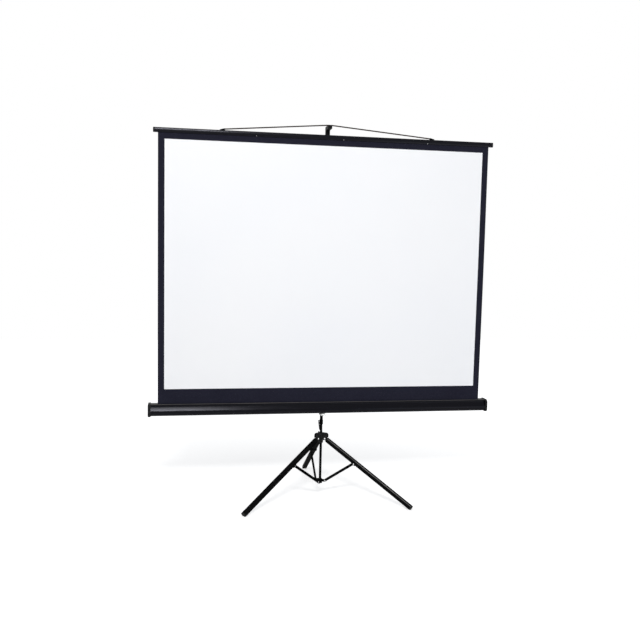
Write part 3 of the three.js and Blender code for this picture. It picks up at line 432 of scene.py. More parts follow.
fabric_low, fabric_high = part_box("screen_fabric")
FINISH = {
    "black_paint": satin_black_paint(),
    "black_plastic": moulded_black_plastic(),
    "black_aluminium": black_coating("coated_case", 0.086),
    "foot_rubber": foot_rubber(),
    "zinc_plate": zinc_plate(),
    "bright_steel": bright_steel(),
    "black_fabric": black_backing(fabric_high - fabric_low),
    "white_coating": white_coating(),
    "cord_yarn": cord_yarn(),
}
for name, node in frame["nodes"].items():
    node.data.materials.clear()
    node.data.materials.append(FINISH[SLOT_OF[name]])
print(len(FINISH), "finishes")

# %% [markdown]
# ## Working as by hand
# The helpers below do what a modeller does with the mouse: clear the selection, start from a
# primitive, pick faces or edges by where they lie, and extrude, scale or bevel them. A form is made
# at the origin along Z and then put in its place, so its numbers stay easy to read.

# %% Selecting and placing
PICK_MODE = {"verts": "VERT", "edges": "EDGE", "faces": "FACE"}
TOUCH = 0.001 * MM


def clear_selection():
    if bpy.context.object and bpy.context.object.mode == "EDIT":
        bpy.ops.object.mode_set(mode="OBJECT")
    bpy.ops.object.select_all(action="DESELECT")


def activate(obj):
    clear_selection()
    obj.select_set(True)
    bpy.context.view_layer.objects.active = obj


def edit(obj):
    activate(obj)
    bpy.ops.object.mode_set(mode="EDIT")


def pick(kind, test):
    """In edit mode, selects the vertices, edges or faces that pass the test, and nothing else."""
    bpy.ops.mesh.select_mode(type=PICK_MODE[kind])
    bpy.ops.mesh.select_all(action="DESELECT")
    mesh = bmesh.from_edit_mesh(bpy.context.object.data)
    chosen = [part for part in getattr(mesh, kind) if test(part)]
    for part in chosen:
        part.select_set(True)
    mesh.select_flush_mode()
    bmesh.update_edit_mesh(bpy.context.object.data)
    return len(chosen)


def close_up():
    """Merges what coincides and turns every face outwards, then leaves edit mode."""
    bpy.ops.mesh.select_all(action="SELECT")
    bpy.ops.mesh.remove_doubles(threshold=TOUCH)
    bpy.ops.mesh.normals_make_consistent(inside=False)
    bpy.ops.object.mode_set(mode="OBJECT")
    return bpy.context.object


def put(obj, place):
    """Moves a form from the origin to its place, and keeps that place in its mesh."""
    activate(obj)
    obj.matrix_world = place
    bpy.ops.object.transform_apply(location=True, rotation=True, scale=True)
    return obj


def joined(*objs):
    activate(objs[0])
    for obj in objs:
        obj.select_set(True)
    bpy.ops.object.join()
    return bpy.context.object


def apply_modifier(obj, kind, **settings):
    activate(obj)
    bpy.ops.object.modifier_add(type=kind)
    modifier = obj.modifiers[-1]
    for name, value in settings.items():
        setattr(modifier, name, value)
    bpy.ops.object.modifier_apply(modifier=modifier.name)
    return obj


def softened(obj, width, segments=2):
    """Rounds every edge that turns by more than about forty degrees."""
    return apply_modifier(
        obj, "BEVEL", width=width, segments=segments, limit_method="ANGLE", angle_limit=radians(40),
    )


def finish_piece(obj, *nodes, smooth=35, keep_finish=False):
    """Gives a finished form its name, shading, finish and body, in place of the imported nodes."""
    first = nodes[0]
    activate(obj)
    bpy.ops.object.shade_smooth_by_angle(angle=radians(smooth))
    obj.name = f"fine_{first}"
    if not keep_finish:
        obj.data.materials.clear()
        obj.data.materials.append(FINISH[SLOT_OF[first]])
    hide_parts(*nodes)
    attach(obj, BODY_OF[first])
    mesh = bmesh.new()
    mesh.from_mesh(obj.data)
    open_edges = sum(not edge.is_manifold for edge in mesh.edges)
    print(obj.name, len(mesh.faces), "faces,", open_edges, "open edges")
    mesh.free()
    return obj


# %% Turned and drawn forms
ROUND_SIDES = 48
ARC_STEPS = 6


def start_editing():
    bpy.ops.mesh.select_mode(type="VERT")
    bpy.ops.mesh.select_all(action="SELECT")


def turned(profile, sides=ROUND_SIDES):
    """A ring drawn at each radius and height in turn. A profile that comes back to its start is bored."""
    clear_selection()
    (radius, height), *rest = profile
    bpy.ops.mesh.primitive_circle_add(vertices=sides, radius=radius, enter_editmode=True, location=(0, 0, 0))
    start_editing()
    bpy.ops.transform.translate(value=(0, 0, height))
    for next_radius, next_height in rest:
        bpy.ops.mesh.extrude_region_move(TRANSFORM_OT_translate={"value": (0, 0, next_height - height)})
        share = next_radius / radius
        bpy.ops.transform.resize(value=(share, share, 1), center_override=(0, 0, next_height))
        radius, height = next_radius, next_height
    bpy.ops.mesh.select_all(action="SELECT")
    bpy.ops.mesh.remove_doubles(threshold=TOUCH)
    if profile[0] != profile[-1]:
        bpy.ops.mesh.fill_holes(sides=0)
    return close_up()


def drawn_outline(corners, arc=ARC_STEPS):
    """One flat face through corners of x, y and radius. A point is dragged round and closed, then rounded."""
    clear_selection()
    bpy.ops.mesh.primitive_plane_add(size=MM, enter_editmode=True, location=(0, 0, 0))
    start_editing()
    bpy.ops.mesh.merge(type="CENTER")
    places = [Vector((x, y, 0)) for x, y, _ in corners]
    bpy.ops.transform.translate(value=places[0])
    for here, there in zip(places, places[1:]):
        bpy.ops.mesh.extrude_region_move(TRANSFORM_OT_translate={"value": there - here})
    bpy.ops.mesh.select_all(action="SELECT")
    bpy.ops.mesh.edge_face_add()
    for index, (place, (_, _, radius)) in enumerate(zip(places, corners)):
        if radius:
            before = places[index - 1] - place
            after = places[(index + 1) % len(places)] - place
            pick("verts", lambda vertex: (vertex.co - place).length < TOUCH)
            setback = radius / tan(before.angle(after) / 2)
            bpy.ops.mesh.bevel(offset=setback, segments=arc, affect="VERTICES")
    bpy.ops.mesh.select_mode(type="FACE")
    bpy.ops.mesh.select_all(action="SELECT")


def lofted(corners, steps, wall=0.0, arc=ARC_STEPS):
    """An outline pulled up through steps of height and scale, solid or with an even wall."""
    drawn_outline(corners, arc)
    if wall:
        bpy.ops.mesh.inset(thickness=wall)
        bpy.ops.mesh.delete(type="FACE")
        bpy.ops.mesh.select_all(action="SELECT")
    middle_x = (min(x for x, _, _ in corners) + max(x for x, _, _ in corners)) / 2
    middle_y = (min(y for _, y, _ in corners) + max(y for _, y, _ in corners)) / 2
    height, scale = 0.0, 1.0
    for number, (next_height, next_scale) in enumerate(steps):
        rise = (0, 0, next_height - height)
        if number:
            bpy.ops.mesh.extrude_region_move(TRANSFORM_OT_translate={"value": rise})
        else:
            bpy.ops.transform.translate(value=rise)
        share = next_scale / scale
        bpy.ops.transform.resize(value=(share, share, 1), center_override=(middle_x, middle_y, next_height))
        height, scale = next_height, next_scale
    return close_up()


def straight(length, near=3 * MM):
    """Steps of an even pull, with a ring near each end, so that edge wear stays at the ends."""
    return [(0.0, 1.0), (near, 1.0), (length - near, 1.0), (length, 1.0)]


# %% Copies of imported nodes


def packed_copy(node):
    """A new object with a copy of a node's mesh, its loose triangles merged into flat faces."""
    obj = bpy.data.objects.new(f"copy_{node}", frame["nodes"][node].data.copy())
    bpy.context.scene.collection.objects.link(obj)
    edit(obj)
    start_editing()
    bpy.ops.mesh.remove_doubles(threshold=TOUCH)
    bpy.ops.mesh.dissolve_limited(angle_limit=radians(1))
    bpy.ops.object.mode_set(mode="OBJECT")
    return obj


def cast_copy(node, voxel=0.5 * MM):
    """A node as a casting: remeshed finely and smoothed, so that each edge and inner corner is soft."""
    obj = packed_copy(node)
    apply_modifier(obj, "REMESH", mode="VOXEL", voxel_size=voxel)
    apply_modifier(obj, "SMOOTH", factor=0.5, iterations=5)
    return apply_modifier(obj, "DECIMATE", ratio=0.4)


def local_box(node, place):
    """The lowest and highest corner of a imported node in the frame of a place."""
    back = place.inverted()
    points = [back @ vertex.co for vertex in frame["nodes"][node].data.vertices]
    low = Vector([min(point[axis] for point in points) for axis in range(3)])
    high = Vector([max(point[axis] for point in points) for axis in range(3)])
    return low, high


def centre(node):
    low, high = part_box(node)
    return (low + high) / 2


def facing(place, direction):
    """A frame at a place with Z along a direction."""
    return Matrix.Translation(place) @ direction.to_track_quat("Z", "Y").to_matrix().to_4x4()


# A form made along Z is laid along X with this: its x becomes Y and its y becomes Z
LAY_ALONG_X = Matrix(((0, 0, 1, 0), (1, 0, 0, 0), (0, 1, 0, 0), (0, 0, 0, 1)))
POLE = centre("pole_tube").xy.to_3d()
print("pole stands at", POLE)

# %% [markdown]
# ## Hanger cord
# The sheet hangs from a thin twisted cord that runs from lug to lug over the hook of the mast. It is
# pulled tight, so its route is two straight runs with one soft bend. A curve follows the route, a
# small three-lobed curve is its section, and a tilt that grows along it lays the strands. Made a
# mesh, it has real strands that catch the light.

# %% Hanger cord
CORD_DIAMETER = 7 * MM
CORD_END = Vector((546.7 * MM, 1968.8 * MM))
CORD_BEND = Vector((26 * MM, 2011.924 * MM))
CORD_PEAK = 2014.077 * MM
STRANDS = 3
STRAND_LAY = 17 * MM
STRAND_VALLEY = 0.14
SECTION_POINTS = 18
POINTS_PER_LAY = 12
cord_y = (fabric_low.y + fabric_high.y) / 2


def cord_point(x):
    """The middle of the cord at a place across the screen."""
    share = (abs(x) - CORD_BEND.x) / (CORD_END.x - CORD_BEND.x)
    if share >= 0:
        return Vector((x, cord_y, CORD_BEND.y + share * (CORD_END.y - CORD_BEND.y)))
    t = (x / CORD_BEND.x + 1) / 2
    return Vector((x, cord_y, CORD_BEND.y * ((1 - t) ** 2 + t ** 2) + CORD_PEAK * 2 * t * (1 - t)))


def poly_curve(name, points, closed):
    line = bpy.data.curves.new(name, "CURVE")
    line.dimensions = "3D"
    spline = line.splines.new("POLY")
    spline.points.add(len(points) - 1)
    for knot, point in zip(spline.points, points):
        knot.co = (*point, 1)
    spline.use_cyclic_u = closed
    obj = bpy.data.objects.new(name, line)
    bpy.context.scene.collection.objects.link(obj)
    return obj


def strand_section():
    """A ring with one swelling for each strand."""
    points = []
    for step in range(SECTION_POINTS):
        angle = 2 * pi * step / SECTION_POINTS
        radius = CORD_DIAMETER / 2 * (1 - STRAND_VALLEY * sin(STRANDS * angle / 2) ** 2)
        points.append(Vector((radius * cos(angle), radius * sin(angle), 0)))
    return poly_curve("strand_section", points, True)


steps = round(2 * CORD_END.x / STRAND_LAY * POINTS_PER_LAY)
route = [cord_point(CORD_END.x * (2 * step / steps - 1)) for step in range(steps + 1)]
section = strand_section()
cord = poly_curve("hanger_cord_line", route, False)
cord.data.bevel_mode = "OBJECT"
cord.data.bevel_object = section
cord.data.use_fill_caps = True
for number, knot in enumerate(cord.data.splines[0].points):
    knot.tilt = 2 * pi * number / POINTS_PER_LAY
activate(cord)
bpy.ops.object.convert(target="MESH")
cord = bpy.context.object
bpy.data.objects.remove(section)
edit(cord)
close_up()
finish_piece(cord, "hanger_cord", smooth=60)

# %% [markdown]
# ## Viewing sheet
# One black woven sheet, coated white on its front inside a black border. It could be two planes, but
# then the border would be a step. Here one grid is cut along the four lines of the coating and the
# faces get two finishes. The sheet is under tension, so it has only a trace of a ripple, which dies
# out in the top bar and in the slot of the case.

# %% Viewing sheet
SHEET_COLUMNS = 96
SHEET_ROWS = 80
SHEET_THICK = 0.8 * MM
RIPPLE = 1.1 * MM
RIPPLE_LENGTH = 0.61
EDGE_CURL = 2.2 * MM
view_low, view_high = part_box("viewing_surface")
bar_low, bar_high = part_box("top_bar")
case_low, case_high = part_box("case_shell")


def ripple(point):
    """How far the cloth stands off its plane: nothing at the bar and the case, most near the middle."""
    rise = (point.z - case_high.z) / (bar_low.z - case_high.z)
    if not 0 < rise < 1:
        return 0.0
    free = sin(pi * rise) ** 2
    edge = (abs(point.x) / fabric_high.x) ** 12
    wave = sin(2 * pi * (point.x / RIPPLE_LENGTH + 0.35 * rise))
    return free * (RIPPLE * wave - EDGE_CURL * edge)


clear_selection()
bpy.ops.mesh.primitive_grid_add(x_subdivisions=SHEET_COLUMNS, y_subdivisions=SHEET_ROWS, size=1)
sheet = bpy.context.object
size = fabric_high - fabric_low
middle = (fabric_low + fabric_high) / 2
upright = Matrix.Rotation(pi / 2, 4, "X") @ Matrix.Diagonal((size.x, size.z, 1, 1))
put(sheet, Matrix.Translation(middle) @ upright)
edit(sheet)
for place, normal in (
    (view_low, (1, 0, 0)), (view_high, (1, 0, 0)), (view_low, (0, 0, 1)), (view_high, (0, 0, 1)),
):
    start_editing()
    bpy.ops.mesh.bisect(plane_co=place, plane_no=normal)
bpy.ops.object.mode_set(mode="OBJECT")
for vertex in sheet.data.vertices:
    vertex.co.y += ripple(vertex.co)
apply_modifier(sheet, "SOLIDIFY", thickness=SHEET_THICK, offset=0)
finish_piece(sheet, "screen_fabric", "viewing_surface", smooth=60)
sheet.data.materials.append(FINISH["white_coating"])
for face in sheet.data.polygons:
    inside = view_low.x < face.center.x < view_high.x and view_low.z < face.center.z < view_high.z
    if inside and face.normal.y < -0.5:
        face.material_index = 1
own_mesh(sheet)

# %% [markdown]
# ## Case
# The case is one extrusion: a slot along the top with a lip in front, a groove below the lip, and a
# rounded front that tucks under. Its outline is drawn point by point, rounded corner by corner and
# pulled along, which is how the real one is pressed through a die.

# %% Case shell
CASE_WALL = 1.6 * MM
SLOT_HALF = 5.5 * MM
LIP_BACK = 9.5 * MM
LIP_HEIGHT = 5 * MM
LIP_ROUND = 3 * MM
GROOVE_DEPTH = 3 * MM
GROOVE_HEIGHT = 10 * MM
BROW_BACK = 11 * MM
BROW_HEIGHT = 24 * MM
BROW_ROUND = 30 * MM
BACK_ROUND = 7 * MM
CHIN_ROUND = 20 * MM


def case_outline():
    """Front is at low y. Outer skin from the slot round the back to the lip, then the inner skin back again."""
    front, back, base, top = case_low.y, case_high.y, case_low.z, case_high.z
    lip = front + LIP_BACK
    groove = lip + GROOVE_DEPTH
    groove_top = top - LIP_HEIGHT
    groove_low = groove_top - GROOVE_HEIGHT
    inner = groove + CASE_WALL
    outer_skin = [
        (middle.y + SLOT_HALF, top, 0),
        (back, top, BACK_ROUND),
        (back, base, BACK_ROUND),
        (front, base, CHIN_ROUND),
        (front, groove_low - BROW_HEIGHT, BROW_ROUND),
        (front + BROW_BACK, groove_low, 1.2 * MM),
        (groove, groove_low, 0.8 * MM),
        (groove, groove_top, 0.8 * MM),
        (lip, groove_top, 0.8 * MM),
        (lip, top, LIP_ROUND),
        (middle.y - SLOT_HALF, top, 0),
    ]
    inner_skin = [
        (middle.y - SLOT_HALF, top - CASE_WALL, 0),
        (inner, top - CASE_WALL, 0),
        (inner, groove_low - CASE_WALL, 0),
        (front + BROW_BACK + CASE_WALL / 2, groove_low - CASE_WALL, 0),
        (front + CASE_WALL, groove_low - BROW_HEIGHT, BROW_ROUND),
        (front + CASE_WALL, base + CASE_WALL, CHIN_ROUND - CASE_WALL),
        (back - CASE_WALL, base + CASE_WALL, BACK_ROUND - CASE_WALL),
        (back - CASE_WALL, top - CASE_WALL, BACK_ROUND - CASE_WALL),
        (middle.y + SLOT_HALF, top - CASE_WALL, 0),
    ]
    return outer_skin + inner_skin


shell = lofted(case_outline(), straight(case_high.x - case_low.x), arc=8)
put(shell, Matrix.Translation((case_low.x, 0, 0)) @ LAY_ALONG_X)
finish_piece(shell, "case_shell")
# The rounded front of the lip, facing forward and up, is painted lighter grey in patches: a painted highlight along
# the lip.
shell.data.materials.append(painted_highlight_grey("rubbed_lip", (0.04, 0.038, 0.038), (0.085, 0.08, 0.078), 5))
# The count below is of the lip faces that carry the painted highlight.
rubbed = 0
for face in shell.data.polygons:
    on_lip = face.center.z > case_high.z - LIP_ROUND and face.center.y < case_low.y + LIP_BACK + LIP_ROUND
    if on_lip and face.normal.y < -0.1 and face.normal.z > 0.1:
        face.material_index = 1
        rubbed += 1
print(rubbed, "rubbed faces along the lip")

# %% [markdown]
# ## End caps of the case
# Moulded caps close the case and carry the roller. The left one is a plain squared flange and the
# right one is domed, with upright ribs for the fingers. Both start as the case's outline, a little
# larger. Insets and small steps shape the face, and the rim is pulled back over the case as a skirt.

# %% Case end caps
CAP_GROW = 2 * MM
CAP_SKIRT = 8 * MM
CAP_SKIRT_WALL = 1.7 * MM
CAP_BROW_ROUND = {"left": 6 * MM, "right": 17 * MM}
CAP_CHIN_ROUND = 9 * MM
CAP_DOMES = {"left": ((0, 1), (4.2, 1), (5, 0.985)), "right": ((0, 1), (1.6, 0.99), (3.4, 0.96), (5, 0.91), (6.2, 0.84), (6.8, 0.76))}
CAP_FACE_INSET = {"left": 5 * MM, "right": 3 * MM}
CAP_FACE_RISE = {"left": 1.4 * MM, "right": 0.3 * MM}
CAP_EDGE = {"left": 0.9 * MM, "right": 0.35 * MM}
RIBS = 7
RIB_PITCH = 5 * MM
RIB_RISE = 0.7 * MM


def cap_outline(side):
    front, back = case_low.y - CAP_GROW, case_high.y + CAP_GROW
    base, top = case_low.z - CAP_GROW, case_high.z + CAP_GROW
    brow = CAP_BROW_ROUND[side]
    return [(back, base, 8 * MM), (back, top, 8 * MM), (front, top, brow), (front, base, CAP_CHIN_ROUND)]


def rib_band(face, rib_y):
    """Whether a face on the cap's end lies in the band of one rib."""
    point = face.calc_center_median()
    return face.normal.z > 0.99 and abs(point.x - rib_y) < RIB_PITCH / 4


def case_cap(side):
    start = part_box(f"case_cap_{side}")
    outline = cap_outline(side)
    edge_x = case_high.x + 0.3 * MM
    cap = lofted(outline, [(height * MM, scale) for height, scale in CAP_DOMES[side]], arc=8)
    edit(cap)
    pick("faces", lambda face: face.normal.z > 0.99)
    bpy.ops.mesh.inset(thickness=CAP_FACE_INSET[side])
    bpy.ops.transform.translate(value=(0, 0, CAP_FACE_RISE[side]))
    if side == "right":
        face_y = (case_low.y + case_high.y) / 2
        ribs = [face_y + (number - (RIBS - 1) / 2) * RIB_PITCH for number in range(RIBS)]
        for rib in ribs:
            for half in (-RIB_PITCH / 4, RIB_PITCH / 4):
                pick("faces", lambda face: face.normal.z > 0.99)
                bpy.ops.mesh.bisect(plane_co=(rib + half, 0, 0), plane_no=(1, 0, 0))
        pick("faces", lambda face: any(rib_band(face, rib) for rib in ribs))
        bpy.ops.mesh.extrude_region_move(TRANSFORM_OT_translate={"value": (0, 0, RIB_RISE)})
    pick("faces", lambda face: face.normal.z < -0.99)
    bpy.ops.mesh.inset(thickness=CAP_SKIRT_WALL)
    pick("faces", lambda face: face.normal.z < -0.99 and len(face.verts) == 4)
    bpy.ops.mesh.extrude_region_move(TRANSFORM_OT_translate={"value": (0, 0, -CAP_SKIRT)})
    close_up()
    mirror = Matrix.Scale(1 if side == "right" else -1, 4, (1, 0, 0))
    put(cap, mirror @ Matrix.Translation((edge_x, 0, 0)) @ LAY_ALONG_X)
    if side == "left":
        edit(cap)
        close_up()
    softened(cap, CAP_EDGE[side])
    print("cap reaches", round(cap.bound_box[6][0], 4), "of", [round(corner.x, 4) for corner in start])
    finish_piece(cap, f"case_cap_{side}")


case_cap("left")
case_cap("right")

# %% [markdown]
# ## Top bar
# The bar grips the upper hem of the sheet in a slot. It is an extrusion like the case, with a round
# top, a shallow line along each face and a closed cap at each end. The cord lugs sit on top of it
# and three small rivets hold the hem.

# %% Top bar and its caps
BAR_ROUND = 3 * MM
BAR_FACE_ROUND = 40 * MM
BAR_BELLY = 11 * MM
BAR_TOP_BACK = 1.5 * MM
BAR_FOOT_BACK = 1.6 * MM
BAR_GLOSS = 0.12
BAR_SLOT_HALF = 1.1 * MM
BAR_SLOT_DEPTH = 12 * MM


def bar_corners(low, high):
    """A flat top and foot with a belly high on the front and back, from the foot's back corner to its front one."""
    belly = high.z - BAR_BELLY
    return [
        (high.y - BAR_FOOT_BACK, low.z, BAR_ROUND),
        (high.y, belly, BAR_FACE_ROUND),
        (high.y - BAR_TOP_BACK, high.z, BAR_ROUND),
        (low.y + BAR_TOP_BACK, high.z, BAR_ROUND),
        (low.y, belly, BAR_FACE_ROUND),
        (low.y + BAR_FOOT_BACK, low.z, BAR_ROUND),
    ]


slot_top = bar_low.z + BAR_SLOT_DEPTH
bar_outline = [
    (middle.y - BAR_SLOT_HALF, bar_low.z, 0),
    (middle.y - BAR_SLOT_HALF, slot_top, 0),
    (middle.y + BAR_SLOT_HALF, slot_top, 0),
    (middle.y + BAR_SLOT_HALF, bar_low.z, 0),
    *bar_corners(bar_low, bar_high),
]
bar = lofted(bar_outline, straight(bar_high.x - bar_low.x))
put(bar, Matrix.Translation((bar_low.x, 0, 0)) @ LAY_ALONG_X)
finish_piece(bar, "top_bar")
bar.data.materials[0] = black_coating("coated_bar", BAR_GLOSS)

BAR_CAP_STEPS = ((0, 0.97), (0.6, 1), (6, 1), (7.2, 0.95), (8, 0.82))
for side, turn in (("left", -1), ("right", 1)):
    low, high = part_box(f"top_bar_cap_{side}")
    bar_cap = lofted(bar_corners(low, high), [(height * MM, scale) for height, scale in BAR_CAP_STEPS])
    start_x = low.x if turn > 0 else -high.x
    put(bar_cap, Matrix.Scale(turn, 4, (1, 0, 0)) @ Matrix.Translation((start_x, 0, 0)) @ LAY_ALONG_X)
    edit(bar_cap)
    close_up()
    finish_piece(bar_cap, f"top_bar_cap_{side}")

# %% Rivets, pins and screws
DOME_STEPS = 5


def dome(radius, height, start, turn=1):
    """Rings of a low round head, from its rim to its crown."""
    angles = [pi / 2 * step / DOME_STEPS for step in range(DOME_STEPS)]
    rings = [(radius * cos(angle), start + turn * height * sin(angle)) for angle in angles]
    return [*rings, (radius * 0.06, start + turn * height)]


def rivet(radius, height, low, high, shank):
    """A shank with a round head on both ends."""
    lower = [*reversed(dome(radius, height, low, -1)), (shank, low)]
    return turned([*lower, (shank, high), *dome(radius, height, high)], 32)


def round_head(radius, height):
    """One round head on its flat seat."""
    return turned(dome(radius, height, 0), 32)


# %% Cord lugs and hem rivets
LUG_ROUND = 2.5 * MM
LUG_TOE = 2.6 * MM
LUG_RIVET = 2.2 * MM
LUG_RIVET_AT = (-5 * MM, -1.6 * MM)
HEM_RIVET = 1.9 * MM
HEM_RIVET_UP = 3.2 * MM
HEM_RIVET_PLACES = (-0.385, 0.075, 0.535)
TOWARDS_VIEWER = Vector((0, -1, 0))

low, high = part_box("hanger_lug_right")
half_x = (high.x - low.x) / 2
half_z = (high.z - low.z) / 2
corners = [
    (-half_x, -half_z, 0), (half_x, -half_z, 0), (half_x, LUG_TOE - half_z, LUG_TOE / 2), (-half_x, half_z, LUG_ROUND),
]
lug = softened(lofted(corners, [(0.0, 1.0), (high.y - low.y, 1.0)]), 0.5 * MM)
put(lug, Matrix.Translation((0, high.y - low.y, 0)) @ Matrix.Rotation(pi / 2, 4, "X"))
head = round_head(LUG_RIVET, 0.8 * MM)
put(head, facing(Vector((LUG_RIVET_AT[0], 0, LUG_RIVET_AT[1])), TOWARDS_VIEWER))
lug = joined(lug, head)
for side, turn in (("left", -1), ("right", 1)):
    low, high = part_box(f"hanger_lug_{side}")
    copy = bpy.data.objects.new(f"hanger_lug_{side}", lug.data.copy())
    bpy.context.scene.collection.objects.link(copy)
    seat = Vector(((low.x + high.x) / 2, low.y, (low.z + high.z) / 2))
    put(copy, Matrix.Translation(seat) @ Matrix.Scale(turn, 4, (1, 0, 0)))
    edit(copy)
    close_up()
    finish_piece(copy, f"hanger_lug_{side}")
bpy.data.objects.remove(lug)

hem_rivet = round_head(HEM_RIVET, 0.8 * MM)
hem_rivet.data.materials.append(FINISH["bright_steel"])
for number, place in enumerate(HEM_RIVET_PLACES):
    copy = bpy.data.objects.new(f"hem_rivet_{number}", hem_rivet.data.copy())
    bpy.context.scene.collection.objects.link(copy)
    put(copy, facing(Vector((place, bar_low.y + BAR_FOOT_BACK, bar_low.z + HEM_RIVET_UP)), TOWARDS_VIEWER))
    bpy.ops.object.shade_smooth_by_angle(angle=radians(40))
    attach(copy, BODY_OF["top_bar"])
bpy.data.objects.remove(hem_rivet)
print(len(HEM_RIVET_PLACES), "hem rivets")

# %% [markdown]
# ## Pole and mast
# Two steel tubes, one sliding in the other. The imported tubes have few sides, which show as flats near
# by. A ring is drawn at the foot and pulled up, over the rim and down the bore again, so each tube is
# smooth, has a wall and a rounded rim.

# %% Tubes of the pole and mast
RIM = 0.4 * MM
END_RING = 4 * MM


def tube(node, wall):
    low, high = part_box(node)
    outer = (high.x - low.x) / 2
    inner = outer - wall
    profile = [
        (outer, low.z + RIM), (outer, low.z + END_RING), (outer, high.z - END_RING), (outer, high.z - RIM),
        (outer - RIM, high.z), (inner + RIM / 2, high.z), (inner, high.z - RIM), (inner, low.z + RIM),
        (inner + RIM / 2, low.z), (outer - RIM, low.z), (outer, low.z + RIM),
    ]
    pipe = turned(profile)
    put(pipe, Matrix.Translation(POLE))
    finish_piece(pipe, node)


tube("pole_tube", 1.5 * MM)
tube("mast_tube", 1.0 * MM)

rod_low, rod_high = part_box("collar_rod")
ROD_RADIUS = 4 * MM
ROD_STOP_HEIGHT = 8 * MM
stop_radius = (rod_high.x - rod_low.x) / 2
rod = turned([
    (ROD_RADIUS - RIM, rod_low.z), (ROD_RADIUS, rod_low.z + RIM), (ROD_RADIUS, rod_high.z - ROD_STOP_HEIGHT),
    (stop_radius, rod_high.z - ROD_STOP_HEIGHT), (stop_radius, rod_high.z),
])
put(rod, Matrix.Translation(POLE))
finish_piece(rod, "collar_rod")

# %% [markdown]
# ## Mast clamp, knob and hook
# A moulded collar closes the pole and a lobed thumb screw bears on the mast through it. The collar is
# turned, with two grip bands. The hook and the lobed knob already have the right outline in the
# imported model, so they are copied: the knob gets soft edges, and the hook is remade as a casting.

# %% Mast clamp
clamp_low, clamp_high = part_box("mast_clamp")
CLAMP_WAIST = 0.9 * MM
CLAMP_THROAT = 5.2 * MM
CLAMP_SOCKET = 7.3 * MM
CLAMP_STEP = 13.7 * MM
clamp_r = (clamp_high.x - clamp_low.x) / 2
waist_r = clamp_r - CLAMP_WAIST
bottom, top = clamp_low.z, clamp_high.z
mast_clamp = turned([
    (CLAMP_SOCKET, bottom), (waist_r, bottom), (clamp_r, bottom + 1.2 * MM), (clamp_r, bottom + 7 * MM),
    (waist_r, bottom + 8 * MM), (waist_r, bottom + 16 * MM), (clamp_r, bottom + 17 * MM), (clamp_r, top - 2.4 * MM),
    (waist_r, top - 0.8 * MM), (waist_r - CLAMP_WAIST, top), (CLAMP_THROAT, top), (CLAMP_THROAT, top - CLAMP_STEP),
    (CLAMP_SOCKET, top - CLAMP_STEP), (CLAMP_SOCKET, bottom),
])
put(mast_clamp, Matrix.Translation(POLE))
finish_piece(mast_clamp, "mast_clamp", smooth=30)

# %% Knob and hook
finish_piece(softened(packed_copy("mast_lock_knob"), 0.7 * MM, 3), "mast_lock_knob", smooth=40)
finish_piece(cast_copy("mast_hook", 0.6 * MM), "mast_hook", smooth=60)

# %% [markdown]
# ## Carrier, saddle and latch
# The case sits in a bent saddle on a carrier that slides on the pole, and a small plated latch under
# the case lets it go. The carrier is a casting, so its copy is remeshed and smoothed. The saddle and
# the latch are cut from plate, so theirs get only a narrow bevel.

# %% Carrier, saddle and latch
finish_piece(cast_copy("pole_carrier", 0.6 * MM), "pole_carrier", smooth=60)
finish_piece(softened(packed_copy("case_saddle"), 0.35 * MM), "case_saddle")
finish_piece(softened(packed_copy("case_latch"), 0.4 * MM), "case_latch")

PIN_HEAD = 3 * MM
pin_low, pin_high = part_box("latch_pin")
latch_pin = rivet(PIN_HEAD, 1 * MM, 0, pin_high.y - pin_low.y - 2 * MM, 1.5 * MM)
pin_seat = Vector(((pin_low.x + pin_high.x) / 2, pin_high.y - 1 * MM, (pin_low.z + pin_high.z) / 2))
put(latch_pin, facing(pin_seat, TOWARDS_VIEWER))
finish_piece(latch_pin, "latch_pin", smooth=40)

# %% Height clamp and lever
finish_piece(cast_copy("height_clamp", 0.45 * MM), "height_clamp", smooth=60)
finish_piece(softened(packed_copy("clamp_lever"), 0.6 * MM, 3), "clamp_lever", smooth=40)
lever_low, lever_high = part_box("clamp_lever_pin")
LEVER_HEAD = 1.5 * MM
lever_pin = rivet(3 * MM, LEVER_HEAD, lever_low.y + LEVER_HEAD, lever_high.y - LEVER_HEAD, 1.5 * MM)
lever_axis = centre("clamp_lever_pin")
put(lever_pin, Matrix.Translation((lever_axis.x, 0, lever_axis.z)) @ Matrix.Rotation(-pi / 2, 4, "X"))
finish_piece(lever_pin, "clamp_lever_pin", smooth=40)

# %% [markdown]
# ## Hub and legs
# Three legs hinge on a cast hub. Every leg is the same, so each piece is modelled in the leg's own
# frame, with X down the leg, and put in place three times. The frame of a leg comes from its joint
# and from the largest level flat of its tube.

# %% Frames of the legs and braces
SIDES = ("left", "right", "rear")


def bearing_across(pivot):
    """The level direction across a leg, from its place about the pole."""
    turn = atan2(pivot.y - POLE.y, pivot.x - POLE.x)
    return Vector((-sin(turn), cos(turn), 0))


def leaning_frame(pivot, along, across):
    """A frame at a pivot with X along a leg or brace and Y across it."""
    along = along.normalized()
    axes = Matrix((along, across, along.cross(across))).transposed()
    return Matrix.Translation(pivot) @ axes.to_4x4()


def leg_frame(side):
    """The leg's run is square to the largest flat of its tube that is level from side to side."""
    pivot = Vector(JOINT[f"{side}_leg_fold"]["pos_m"])
    across = bearing_across(pivot)
    flats = [face for face in frame["nodes"][f"leg_tube_{side}"].data.polygons if abs(face.normal.dot(across)) < 0.01]
    along = across.cross(max(flats, key=lambda face: face.area).normal)
    return leaning_frame(pivot, along if along.z < 0 else -along, across)


def brace_frame(side):
    pivot = Vector(JOINT[f"{side}_brace_fold"]["pos_m"])
    across = bearing_across(pivot)
    reach = centre(f"brace_strip_{side}") - pivot
    return leaning_frame(pivot, reach - reach.dot(across) * across, across)


def across_pivot(place):
    """The same place with Z along the hinge."""
    return place @ Matrix.Rotation(-pi / 2, 4, "X")


# %% Copies for the three sides


